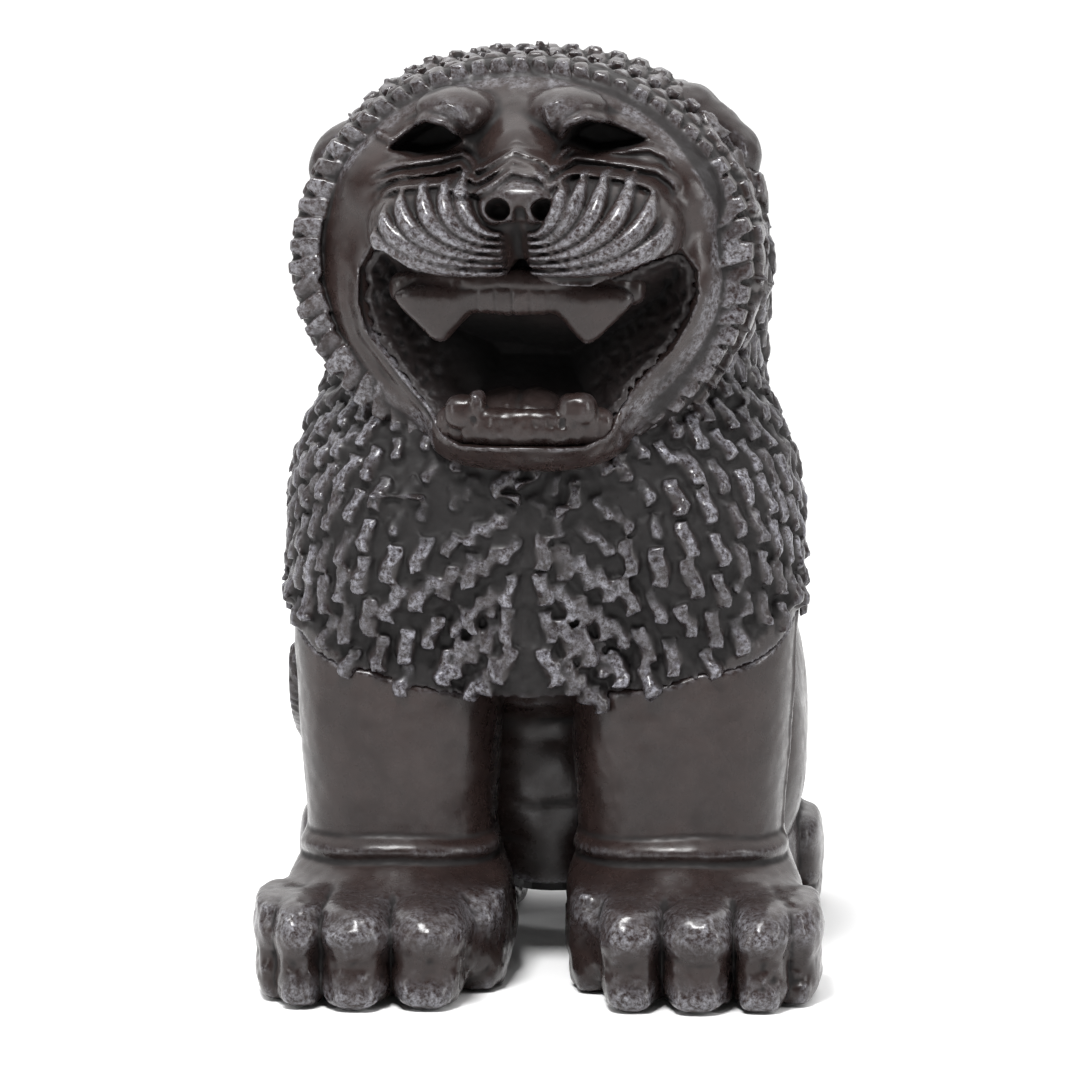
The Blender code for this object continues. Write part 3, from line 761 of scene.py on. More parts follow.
def neck_limit(clay):
    """Above 0 in the room that the head casting takes: the ruff's oval, forward of the neck plane."""
    height = clay.z - FACE_Z - HEAD_LIFT
    barrel = np.sqrt(((clay.x - FACE_X) / RUFF_HALF_X) ** 2 + (height / RUFF_HALF_Z) ** 2)
    ahead = (neck_y(clay.z) - clay.y) / math.hypot(1, NECK_LEAN)
    return np.minimum(ahead + 1.2, (1.0 - barrel) * RUFF_HALF_Z)


def mane_edge(x, y):
    """The mane's lower edge, all the way round: a rounded bib in front, rising towards the back."""
    rise = HEM_RISE * np.minimum(np.abs(x + 1) / HEM_HALF_X, 1.03) ** 3
    front = HEM_Z + rise + HEM_SLOPE * np.maximum(y - LEG_CENTRE_Y, 0)
    return np.where(y < LEG_BACK_Y, front, bib_z(LEG_BACK_Y) + BACK_HEM_SLOPE * (y - LEG_BACK_Y))


def under_mane(x, y, z):
    """How far a foreleg's surface is sunk where the mane hangs over it."""
    return MANE_SINK * ramp(z - mane_edge(x, y), 0.4, 3.4) * ramp(LEG_BACK_Y - y, 2, 6)


MANE_AXIS_Y = 62.0                              # the mane is laid out on an oval drum round this upright axis
MANE_RADIUS = 52.0
MANE_HALF_X = 54.0
MANE_HALF_Y = 46.0
MANE_BACK_Y = 70.0                              # how far a radian behind the axis carries a lock
MANE_LEVEL = 112.0
MANE_LOW, MANE_HIGH = 52.0, 186.0
COLUMN = 5.1
ROW = 8.5
COLUMN_DROP = 2.4
PARTING = -3.5
NECK_COLUMN = 5.3
NECK_ROWS = 15
OVERLAP = 0.6                                   # the mane's halves share this much, so that no line shows


def drum_place(side, theta):
    """x and y on the mane's drum, theta radians round from its front."""
    past = abs(theta) - math.pi / 2
    x = MANE_HALF_X * math.sin(theta) if past < 0 else side * MANE_HALF_X * math.cos(past)
    if theta * side > math.pi / 2:
        return x, MANE_AXIS_Y + MANE_BACK_Y * past
    return x, MANE_AXIS_Y - MANE_HALF_Y * math.cos(theta)


def mane_seeds():
    """Where each lock of the mane starts out, and which way it hangs."""
    places, downs, sides = [], [], []
    for side in (-1, 1):
        for column in range(34):
            arc = (column + 0.5) * COLUMN
            for row in range(-18, 24):
                height = MANE_LEVEL + ROW * row - COLUMN_DROP * column
                lean = 0.10 * (MANE_LEVEL - height)
                theta = (side * (arc + lean) + PARTING * math.exp(-arc / 60)) / MANE_RADIUS
                if abs(theta) > 2.0 or not MANE_LOW < height < MANE_HIGH:
                    continue
                places.append((*drum_place(side, theta), height))
                downs.append((side * 0.12, 0.0, -1.0))
                sides.append(side)
    for column in range(-8, 9):
        for row in range(NECK_ROWS):
            along = (row + 0.5 * (column % 2) + 0.3) / NECK_ROWS
            places.append((NECK_COLUMN * column, 74 + 66 * along, 205 - 84 * along))
            downs.append((0.0, 0.62, -0.78))
            sides.append(1 if column > 0 else -1)
    return np.array(places), np.array(downs), np.array(sides)


def onto_surface(clay, places):
    """Shoots each place towards the mane's axis, or down onto the neck, until it meets the clay."""
    axis = np.stack([places[:, 0] * 0, np.clip(places[:, 1], MANE_AXIS_Y - 6, None), places[:, 2]], 1)
    behind = places[:, 1] > MANE_AXIS_Y
    axis[behind, 2] -= 0.55 * (places[behind, 1] - MANE_AXIS_Y) + 12
    ray = axis - places
    above = places[:, 2] + 1.27 * places[:, 1] > 298
    ray[above] = (0.0, -0.78, -0.62)
    places = np.where(above[:, None], places + 6 * ray, places)
    ray /= np.maximum(np.linalg.norm(ray, axis=1, keepdims=True), 1e-6)
    places = places - ray * 14
    for _ in range(60):
        step = clay.sample(clay.d, places)
        places = places + ray * np.clip(step, -1, 4)[:, None]
    return places, np.abs(clay.sample(clay.d, places)) < 0.6


def comb_mane(clay):
    """Sinks the mane's ground a little and sets the locks on it; returns the painted shade on the ground
    between them.
    """
    def sink(x, y, z):
        inside = ramp(z - mane_edge(x, y), -1.0, 1.0)
        rough = 0.24 * noise(x, y, z, 1.5) + 0.25 * noise(x, y, z, 4.0, 7.3)
        return inside * (rough - 1.4 * ramp(z - mane_edge(x, y), 0.5, 8))

    def chisel(x, y, z):
        rough = 0.36 * noise(x, y, z, 1.4, 3.3) + 0.3 * noise(x, y, z, 2.7, 5.1)
        return ramp(z - mane_edge(x, y), 0, 2) * rough
    clay.relief(sink)
    ground = clay.d.copy()
    places, downs, sides = mane_seeds()
    places, found = onto_surface(clay, places)
    edge = places[:, 2] - mane_edge(places[:, 0], places[:, 1])
    keep = found & (edge > np.where(places[:, 1] < LEG_BACK_Y - 4, 0.4, 2.0))
    places, downs, sides, edge = places[keep], downs[keep], sides[keep], edge[keep]
    count = len(places)
    random = rng.random((count, 6)) - 0.5
    places = places + random[:, :3] * 0.7
    downs = downs + random[:, 3:6] * np.array([0.28, 0.2, 0.0])
    shrink = np.clip(0.8 + edge / 26, 0.8, 1.0)
    big = 1 + 0.22 * (rng.random(count) - 0.5)
    throat = ramp(places[:, 2], 92, 99) * ramp(32 - np.abs(places[:, 0] + 3), 0, 6) * (places[:, 1] < 45)
    downs = downs + throat[:, None] * (rng.random((count, 3)) - 0.5) * np.array([1.3, 0.4, 0.0])
    places = places + throat[:, None] * (rng.random((count, 3)) - 0.5) * 2.5
    shrink = shrink * (1 - 0.3 * throat)
    sizes = np.stack([2.8 * shrink ** 0.5 * big, 4.45 * shrink * big], 1)
    hooks = -sides * (0.75 + 0.9 * (rng.random(count) - 0.3))
    tilts = 0.22 + 0.3 * rng.random(count)
    talls = 1.8 * shrink * (0.8 + 0.4 * rng.random(count))
    greys = 0.16 + 0.7 * rng.random(count) ** 1.5
    stamp_locks(clay, places, downs, sizes, hooks, tilts, talls, greys)
    clay.relief(chisel)

    def between(points):
        # painted shade: the low ground between locks, above the hem
        above_edge = points[:, 2] - mane_edge(points[:, 0], points[:, 1])
        return 0.95 * ramp(1.5 - clay.sample(ground, points), 0, 0.7) * ramp(above_edge, 0.5, 2.5)
    return between


def make_mane():
    """The mane, in two halves that meet at the parting. It hangs over the forelegs as a thin shell."""
    mane = Clay((-61, 17, 52), (61, 136, 199), MANE_STEP)
    shape_front(mane)
    edge = mane_edge(mane.x, mane.y)
    hanging = np.maximum(0.12 - mane.d - under_mane(mane.x, mane.y, mane.z), edge - 3.0 - mane.z)
    hanging = np.maximum(hanging, mane.y - LEG_BACK_Y + 2.0)
    hanging = np.maximum(hanging, mane.z - bib_z(mane.y) - 1.0)
    between = comb_mane(mane)
    split = np.where(mane.y < LEG_BACK_Y, -9.0, edge - 1.5 - mane.z).astype(np.float32)
    whole = np.maximum(np.minimum(body_limit(mane), hanging), split)
    for side, name in ((1, "mane_left"), (-1, "mane_right")):
        half = np.maximum(whole, -side * (mane.x - PARTING) - OVERLAP)
        make_piece(name, mane, RUB_AND_SHEEN_CAST, ["torso"], half, sheen_and_rub_share=0.35, shade_paint=between)


def make_back():
    """The smooth skin of the back and the rump, below the mane."""
    back = Clay((-61, 70, 7), (61, 165, 150), COARSE)
    shape_body(back)
    lower = np.where(back.y < LEG_BACK_Y, 9.0, back.z - mane_edge(back.x, back.y) + 1.5)
    make_piece("back", back, BROWN, ["torso"], np.maximum(body_limit(back), lower))


def make_belly():
    """The cracked skin that shows between the forelegs."""
    belly = Clay((-24, 50, 10), (24, 82, 78), COARSE)
    belly.add(egg((-1, 84, 36), (24, 24, 32), 0, 2.3))
    belly.add(egg((-1, 72, 66), (22, 22, 14)), 6)
    crack_belly(belly)
    arch = BELLY_Z + 2 - belly.z + 0.02 * belly.x ** 2
    limit = np.maximum(np.maximum(arch, belly.y - LEG_BACK_Y - 0.5), belly.z - bib_z(belly.y))
    make_piece("belly", belly, BROWN, ["torso"], limit)


def crack_belly(clay):
    """Shallow horizontal cracks and dents on the belly, between the forelegs."""
    def rule(x, y, z):
        wander = 1.6 * noise(x, y, z, 14, 3.1)
        lines = 0.0
        for height in (27, 35, 44, 52, 58):
            lines = lines - 0.5 * bump(z - height - wander, 0.9) * ramp(noise(x, y, z, 11, height), -0.3, 0.3)
        return lines + 0.35 * noise(x, y, z, 6.0, 1.7)
    clay.relief(rule)


# ------------------------------------------------------------------ paws and legs

def add_toe(clay, x, half, setback, tall):
    """One toe, with its knuckle on top, a blunt upright front and a nail at the ground."""
    clay.add(pillar((x, setback + 14.0, 0.5 * tall + 0.2), (half + 0.35, 14.0, 0.5 * tall), 2.6, 4.2), 0.25)
    clay.add(egg((x, setback + 9.5, 0.72 * tall), (half * 0.86, 9.9, 0.265 * tall), 0, 2.2), 1.6)
    clay.add(egg((x, setback + 5.0, 3.4), (half * 0.72, 5.1, 3.1), 0, 2.8), 0.5)


def leg_column(side):
    """The upright of a foreleg: a boxy oval that narrows to the wrist."""
    centre, half = LEG_SIDES[side]

    def rule(x, y, z):
        narrow = 1 - 0.045 * bump(z - 30, 13) - 0.22 * ramp(z, 82, LEG_TOP_Z)
        outward = side * (x - centre)
        half_x = half * narrow + 1.7 * ramp(outward, 0, 20) * ramp(z, 38, 80)
        a = np.abs(x - centre) / half_x
        b = np.abs(y - LEG_CENTRE_Y) / (LEG_HALF_Y * narrow)
        return np.maximum(((a ** 2.5 + b ** 2.5) ** (1 / 2.5) - 1) * 21.0, z - LEG_TOP_Z)
    return (centre - half, 28, 12), (centre + half, 80, LEG_TOP_Z), rule


# each toe's middle (out from the lion's middle), half width and setback from the toe line
FORE_PAWS = {
    -1: ((12.6, 5.2, 22), (54.4, 5.2, 11), (49.4, 5.2, 2.6), (37.6, 7.4, 0.3), (22.8, 7.6, 1.6)),
    1: ((11.5, 5.2, 22), (54.6, 5.0, 10), (47.6, 6.0, 2.4), (34.2, 7.5, 0.3), (20.4, 6.4, 1.6)),
}


FORE_TOE_TOP_Z = 20.6
HIND_TOE_TOP_Z = 23.0
TOE_BLEND = 2.2
WRIST_Z = 26.0


def knuckles(x, y, z):
    """A dip above each fore nail and a hump at each knuckle."""
    front = ramp(26 - y, 0, 8)
    return front * (-0.35 * bump(z - 9.0, 3.2) + 0.55 * bump(z - 16.0, 2.8))


def wrist(x, y, z):
    """The arched creases round the front of a foreleg, with rolls of skin between them."""
    arch = WRIST_Z + 1.2 * bump(np.abs(x) - 30, 14) + 0.5 * noise(x, y, z, 12)
    crease = -0.75 * bump(z - arch, 1.3) - 0.35 * bump(z - arch - 5.2, 1.1)
    bulge = 0.9 * bump(z - arch - 2.7, 2.2) + 0.8 * bump(z - arch + 4.5, 3.2)
    return (crease + bulge) * ramp(60 - y, 0, 20)


def fore_skin(x, y, z):
    """The foreleg's uneven skin, rougher on the paw."""
    rough = 0.16 * noise(x, y, z, 7.0, 2.0) + 0.07 * noise(x, y, z, 2.2)
    lumps = 0.30 * noise(x, y, z, 5.5, 9.0) + 0.24 * noise(x, y, z, 2.4, 9.0) + 0.1 * noise(x, y, z, 1.2, 4.0)
    return rough + ramp(24 - z, 0, 6) * lumps


def patchy(x, y, z):
    """A share that comes and goes, for the silver of rubbing and painted highlights."""
    return 0.7 + 0.5 * noise(x, y, z, 5.0)


def paw_clay(side, inner_x, low_y, high_y, top_z, step):
    """Empty clay for one leg, on one side of the lion."""
    low, high = sorted((side * inner_x, side * 62.0))
    return Clay((low, low_y, -1.5), (high, high_y, top_z), step)


def make_foreleg(side, name):
    room = (side, 4.0, -1.5, 80, 104, PAW_STEP)
    clay, toes = paw_clay(*room), paw_clay(*room)
    shape_body(clay)
    clay.d = np.where(clay.z < 50, FAR, clay.d).astype(np.float32)
    clay.add(leg_column(side), COLUMN_BLEND)
    clay.relief(lambda x, y, z: -under_mane(x, y, z))
    clay.add(egg((side * 32.5, 36, 10.5), (24, 27, 11.5), 0, 2.4), 4)
    clay.add(egg((side * 31, 50, 12), (23.5, 28.5, 19), 0, 2.2), 9)
    for x, half, setback in FORE_PAWS[side]:
        add_toe(toes, side * x, half, setback, FORE_TOE_TOP_Z)
    clay.d = smooth_min(clay.d, toes.d, TOE_BLEND).astype(np.float32)
    clay.relief(knuckles)
    clay.relief(wrist)
    clay.relief(fore_skin)
    if side > 0:
        clay.relief(lambda x, y, z: 0.5 * bump(y - 48, 0.5) * (x > 46) * ramp(z, 24, 34))
    # silver band over the knuckles: rubbing, and a painted highlight where the top light falls
    clay.paint(lambda x, y, z: 0.75 * bump(z - 17.8, 3.6) * ramp(34 - y, 0, 10) * patchy(x, y, z))
    clay.paint(lambda x, y, z: 0.6 * bump(z - 3.0, 3.0) * ramp(7 - y, 0, 3))
    joint = np.maximum(clay.z - bib_z(clay.y) + 0.2, clay.y - LEG_BACK_Y - 0.15)
    limit = np.maximum(joint, SOLE_Z - clay.z)
    make_piece(name, clay, BROWN, [name], limit)


HIND_TOES = ((12.6, 5.0, 12), (54.2, 5.0, 9), (48.6, 5.8, 2.5), (36.4, 7.0, 0.2), (22.6, 7.0, 1.5))
HIND_TOE_LINE = 102.6


def haunch_line(x, y, z):
    """The carved outline of the haunch."""
    return -0.9 * bump(np.hypot(y - 118, (z - 44) / 1.15) - 33, 1.6) * ramp(y, 96, 106)


def make_hindleg(side, name):
    room = (side, 5.0, 76, 161, 88, 0.5 * (FINE + MEDIUM))
    clay, toes = paw_clay(*room), paw_clay(*room)
    shape_body(clay)
    for x, half, setback in HIND_TOES:
        add_toe(toes, side * x, half, HIND_TOE_LINE + setback, HIND_TOE_TOP_Z)
    clay.d = smooth_min(clay.d, toes.d, TOE_BLEND).astype(np.float32)
    clay.relief(haunch_line)
    clay.relief(lambda x, y, z: 0.14 * noise(x, y, z, 7.0, 2.0) + 0.06 * noise(x, y, z, 2.2))
    # silver band over the hind knuckles: rubbing, and a painted highlight where the top light falls
    clay.paint(lambda x, y, z: 0.7 * bump(z - 19, 4.5) * ramp(124 - y, 0, 10) * patchy(x, y, z))
    limit = np.maximum(haunch_limit(clay, side) - 0.1, SOLE_Z - clay.z)
    make_piece(name, clay, BROWN, [name], limit)


# ------------------------------------------------------------------ tail

TAIL = ((0, 154, 66), (-3, 157, 45), (-16, 156, 28), (-35, 154, 25), (-51.5, 138, 32), (-57, 120, 47),
        (-54.5, 106, 62))


def make_tail():
    clay = Clay((-61, 98, 17), (8, 163, 72), FINE)
    line = curve(TAIL, 60)
    t = np.linspace(0, 1, 60)
    radii = 4.5 + 2.6 * bump(t - 0.9, 0.08) - 2.2 * ramp(t, 0.93, 1.0)
    clay.add(tube(line, radii))
    tip = line[50:]

    def hair(x, y, z):
        near = np.stack([(x - p[0]) ** 2 + (y - p[1]) ** 2 + (z - p[2]) ** 2 for p in tip]).argmin(0)
        share = near / len(tip)
        centre = tip[near]
        angle = np.arctan2(x - centre[:, 0], y - centre[:, 1])
        wave = np.abs(np.sin(4 * angle + 5 * share + 1.2 * noise(x, y, z, 6)))
        return (0.9 * wave - 0.4) * ramp(share, 0.0, 0.25)
    clay.relief(hair)
    clay.relief(lambda x, y, z: 0.12 * noise(x, y, z, 3.0))
    make_piece("tail", clay, RUB_AND_SHEEN_CAST, ["tail"])


# ------------------------------------------------------------------ head

LIP_BACK_Y = 43.0
EYE_BACK_Y = 41.0
LINER_WALL = 1.4
LINER_GAP = 0.15
# outlines and lines on the front of the head, as x and z
MOUTH = ((-2, 150.6), (-16.6, 150.9), (-22.8, 152.8), (-28, 156), (-31.5, 156.4), (-33.8, 152), (-34, 146),
         (-32.4, 140), (-27, 132.6), (-19.7, 124.3), (-16, 119.6), (-12.5, 118), (12.5, 118), (16.6, 119.8),
         (22.2, 129.0), (29.3, 137.0), (32.8, 143), (34.6, 148.3), (34.2, 152.5), (32, 155.6), (27.4, 154.6),
         (22.2, 151.9), (15.9, 149.2), (6.6, 149.0))
EYES = (
    ((-30, 177.4), (-26, 180.8), (-21, 183.6), (-16.6, 182.6), (-13.8, 179.4), (-17.5, 176.8), (-24, 175.8)),
    ((6.8, 179), (9, 182.6), (13, 184.2), (18.4, 182.6), (25.2, 179.6), (20.4, 177.6), (13, 176.8)),
)
UPPER_LID = 5                                   # an eye's first points are its upper lid
WRINKLES = (
    ((-33, 172.4), (-27.5, 174.4), (-19, 175.6), (-13.6, 176.8), (-9.8, 174.2), (-7.6, 174.8), (-1, 178.4),
     (4.8, 176.6), (6.9, 175.2), (9, 178.9), (12.4, 178.4), (19.6, 177.8), (25.6, 178.2), (29.4, 176.6),
     (31, 174.2)),
    ((-33.4, 169.8), (-27.2, 172.2), (-17.8, 173.6), (-13.8, 174.8), (-8.8, 171.9), (-7, 173), (-1, 176.6),
     (3.8, 175.2), (6, 173.6), (10, 176.2), (14.4, 175.8), (22, 174.8), (27.8, 173.8), (31, 171.4),
     (32.2, 169.2)),
    ((-31, 168.4), (-26, 170.6), (-16, 171.6), (-11.8, 169.8), (-8.2, 170.2), (-5.4, 171.4), (-1, 174.8),
     (4.8, 173.6), (7.4, 171.8), (10.4, 173.9), (14.4, 173.6), (20.4, 173), (26, 171.4), (29.8, 169.2)),
)
BROW_FOLDS = (
    ((-19.0, 189.4), (-13.6, 186.2), (-11.8, 182.4), (-9.6, 184.2)),
    ((9.6, 189.4), (4.6, 187.0), (5.4, 183.6), (6.6, 181.4)),
)
# the whisker ribs sweep from the nose, row under row, up to these tops
RIB_TOPS = {
    -1: ((-12.0, 172.2), (-15.4, 170.8), (-19.9, 170.6), (-24.6, 168.6), (-28.2, 165.4), (-30.2, 161.0)),
    1: ((9.6, 170.8), (13.0, 172.0), (17.4, 172.5), (22.8, 171.8), (27.6, 168.4), (31.0, 163.2)),
}
RIB_START_Z = 161.3
RIB_STEP = 1.62
RIB_TALL = 2.3
NOSE = (1.3, 8.8, 167.6)
NOSTRILS = (-3.6, 6.2)
BROWS = (-15.4, 8.2)


def mouth_front(x):
    """How far back the mouth's rim is."""
    return 18.5 + 0.0062 * x * x


def bowl(clay, outline):
    """Signed distance to the open mouth, which narrows as it goes back."""
    inward = 0.62 * np.maximum(clay.y - mouth_front(clay.x), 0.0)
    return np.maximum(outline[:, None, :] + inward, clay.y - LIP_BACK_Y).astype(np.float32)


def shape_head(clay):
    """The skull, face, jaw and chin, then the cheeks and muzzle, the bridge of the nose and the brows."""
    clay.add(egg((FACE_X, 66, FACE_Z), (48.3, 30, 42.6), 0, 2.35))
    clay.add(egg((-2.0, 41.5, 154.8), (44.8, 18.5, 38.6), 0, 2.2), 5)
    clay.add(egg((0, 37, 131), (35.5, 17.5, 20)), 7)
    clay.add(egg((0, 29, 117.5), (21, 15, 7.6), 0, 2.4), 4)
    for side in (-1, 1):
        clay.add(egg((side * 26, 32, 168), (13, 9, 10)), 6)
        clay.add(egg((side * 31.5, 33, 147), (9, 9, 15)), 6)
        clay.add(egg((side * 14.5, 20.5, 161.5), (18.5, 15.0, 11.5), -6, 2.2), 3.5)
    clay.add(tube(((0.5, 16, 168), (-1, 22.5, 175.5), (-2, 31, 181)), (9.0, 8.0, 7.0)), 5)
    for x, z in zip(BROWS, (185.6, 185.8)):
        clay.add(egg((x, 28.0, z), (8.6, 8.5, 5.2)), 2.2)


def carve_nose(clay):
    """The nose's pad and top, its nostrils, and the groove below it."""
    x, y, z = NOSE
    clay.add(egg((x, y + 0.6, z + 0.8), (9.3, 7.2, 5.2), -10, 2.5), 1.2)
    clay.add(egg((x, y + 5, z + 4.2), (7.8, 7.0, 3.4)), 2.5)
    for nostril in NOSTRILS:
        side = math.copysign(1, nostril - x)
        clay.add(egg((nostril + 1.1 * side, y - 1.4, z - 0.8), (3.5, 4.6, 3.7)), 1.6)
        clay.cut(egg((nostril, y - 5.2, z - 0.4), (2.0, 6.4, 1.75), 10), 0.7)
        clay.add(egg((nostril + 0.4 * side, y + 0.6, z - 0.2), (1.0, 1.6, 0.8)), 0.6)
    clay.cut(egg((x - 0.2, y - 6.4, z - 5.0), (1.0, 4.0, 4.4)), 1.2)


def rib_line(side, k):
    """The sweep of one whisker rib, counted from the top."""
    top_x, top_z = RIB_TOPS[side][k]
    start_x, start_z = side * 3.0 - 0.4, RIB_START_Z - RIB_STEP * k
    turn = np.radians(np.linspace(0, 96, 22))
    return np.stack([start_x + (top_x - start_x) * np.sin(turn) ** 0.93,
                     top_z + (start_z - top_z) * np.cos(turn)], 1)


def draw_ribs(sketch):
    """Round whisker ribs, over a cheek that is sunk a little to take them."""
    ribs = np.zeros_like(sketch.height)
    for side in (-1, 1):
        for k in range(len(RIB_TOPS[side])):
            away, where = sketch.distance(rib_line(side, k))
            half = 0.62 + 1.7 * np.maximum(np.sin(np.pi * where ** 1.5), 0) * (0.74 + 0.06 * k)
            tip = ramp(1.0 - where, -0.02, 0.12)
            height = RIB_TALL * np.clip(1 - (away / half) ** 2, 0, 1) ** 0.5 * (0.35 + 0.65 * tip)
            ribs = np.maximum(ribs, height)
    zone = bump(sketch.x / 30, 0.9) * ramp(sketch.z, 151, 154) * ramp(172 - sketch.z, 0, 6)
    sketch.height += ribs - 0.7 * zone * (np.abs(sketch.x) < 31)


def raised(points, lift):
    """A line's points, moved up."""
    return [(x, z + lift) for x, z in points]


def draw_face(clay):
    """Wrinkles, whisker ribs, lids and folds."""
    sketch = Sketch(clay)
    for line in WRINKLES:
        away, where = sketch.distance(line)
        fade = ramp(np.minimum(where, 1 - where), -0.01, 0.06)
        sketch.height += fade * (1.15 * bump(away, 0.75) - 0.3 * bump(away - 1.25, 0.5))
    draw_ribs(sketch)
    for eye in EYES:
        sketch.stroke(raised(eye[:UPPER_LID], 0.9), 0.95, 1.25, 0.1)
        sketch.stroke(raised(eye[:UPPER_LID], 2.6), 0.8, -0.5, 0.3)
    sketch.stroke(((-29.6, 179.6), (-32.4, 180.6)), 0.7, 0.9, 0)
    for fold in BROW_FOLDS:
        sketch.stroke(fold, 0.8, 0.8, 0.2)
    sketch.stroke(((-0.4, 161), (-0.4, 151.5)), 2.3, -1.6, 0)
    for lip in (raised(MOUTH[:5], 0.8), raised(MOUTH[-5:], 1.0)):
        sketch.stroke(lip[::-1], 0.75, 0.85, 0.05)
    return sketch


def draw_mouth_rim(sketch, outline):
    """The rolled edge of the mouth, doubled on the lion's right; returns where it is doubled."""
    x, z = sketch.x, sketch.z
    below = ramp(154 - z, 0, 5)
    sketch.height += 1.3 * bump(outline - 1.5, 1.5) * below
    sketch.height -= 0.5 * bump(outline - 4.6, 1.3) * below * ramp(z, 122, 130)
    right = ramp(-x, 12, 20) * ramp(142 - z, 0, 4)
    sketch.height += 0.7 * bump(outline - 0.9, 0.6) * right
    sketch.height -= 0.8 * bump(outline - 2.1, 0.55) * right
    return right


def ruff_line(count, grow=0.0):
    """Angles, places and outward directions round the ruff's oval, evenly spaced."""
    turn = np.linspace(0, 2 * math.pi, 721)
    half_x, half_z = RUFF_HALF_X + grow, RUFF_HALF_Z + grow
    steps = np.hypot(np.diff(half_x * np.sin(turn)), np.diff(half_z * np.cos(turn)))
    length = np.concatenate([[0], np.cumsum(steps)])
    turn = np.interp(np.linspace(0, length[-1], count, endpoint=False), length, turn)
    x, z = FACE_X + half_x * np.sin(turn), FACE_Z + half_z * np.cos(turn)
    out = np.stack([np.sin(turn) / half_x, 0 * turn, np.cos(turn) / half_z], 1)
    return turn, x, z, out / np.linalg.norm(out, axis=1, keepdims=True)


def ruff_y(z):
    """How far back the ruff's front ring is at a height."""
    return RUFF_Y + RUFF_LEAN * (z - FACE_Z)


def ruff_ring(clay):
    """The raised band that carries the ruff's front row."""
    across = (clay.x - FACE_X) / (RUFF_HALF_X - RUFF_BAND)
    upright = (clay.z - FACE_Z) / (RUFF_HALF_Z - RUFF_BAND)
    radial = (np.sqrt(across ** 2 + upright ** 2) - 1) * (RUFF_HALF_X - 6)
    depth = clay.y - ruff_y(clay.z)
    size = (np.abs(radial / 3.0) ** 2.8 + np.abs(depth / 7.4) ** 2.8) ** (1 / 2.8)
    return ((size - 1) * 3.0).astype(np.float32)


RUFF_TEETH = 62
RUFF_FRONT = 7.4                                # the front row stands this far forward of the ring's middle
# the rows behind the front one: count, shift, how far back, half width
RUFF_ROWS = ((62, 0.5, 3.6, 2.4), (62, 0.0, 11.5, 2.5), (58, 0.5, 19.0, 2.6))
WILD_TURN = math.radians(100)                   # the locks are wildest at the lion's left cheek


def stamp_tooth(clay, ground, place, across, along, out, half_wide, half_long, tall, twist, grey):
    """A blunt tooth-shaped lock with a flat face, turned a little about its length."""
    found = axes_at(clay, place, 7.5, across, along, out)
    if not found:
        return
    cuts, a, b, c = found
    width = half_wide * (1.05 - 0.42 * ramp(b, -0.4 * half_long, half_long))
    top = tall + twist * a - 0.05 * b
    shape = np.maximum(np.maximum(np.abs(a) - width, np.abs(b) - half_long), np.maximum(c - top, -c - 4.0))
    shape = np.maximum(shape, ground[cuts] - tall)
    clay.d[cuts] = smooth_min(clay.d[cuts], shape.astype(np.float32), 0.3)
    # silver on each tooth's flat face: rubbing, and a painted sheen
    tone = ramp(width + 0.2 - np.abs(a), 0, 0.7) * ramp(half_long + 0.2 - np.abs(b), 0, 0.8)
    tone = tone * ramp(c, top - 1.0, top - 0.3)
    clay.tone[cuts] = np.maximum(clay.tone[cuts], grey * tone.astype(np.float32))


def set_front_row(clay, ground):
    """The row of teeth nearest the face, with their flat faces forward, coarser on the lion's left."""
    turn, x, z, out = ruff_line(RUFF_TEETH, -3.7)
    front = np.array([0.0, -1.0, 0.0])
    for i in range(RUFF_TEETH):
        wild = float(ramp(math.cos(turn[i] - WILD_TURN), 0.55, 0.95))
        jitter = rng.random(4) - 0.5
        place = np.array([x[i], ruff_y(z[i]) - RUFF_FRONT, z[i]])
        along = out[i] + (0.3 * jitter[0] - 0.12) * np.cross(out[i], front)
        along = along / np.linalg.norm(along)
        face = front + 0.22 * out[i] + 0.25 * wild * np.array([jitter[1], 0, jitter[2]])
        face = face - along * (face @ along)
        face = face / np.linalg.norm(face)
        across = np.cross(along, face)
        twist = (0.22 + 0.3 * jitter[3]) * (1 if i % 2 else 0.6)
        grey = 0.15 + 0.8 * (jitter[0] + 0.5)
        size = (2.2 + 0.5 * jitter[1] + 0.6 * wild, 3.3 + 0.9 * jitter[2] + 0.8 * wild)
        tall = 1.15 + 0.9 * wild + 0.5 * jitter[0]
        stamp_tooth(clay, ground, place, across, along, face, *size, tall, twist, grey)


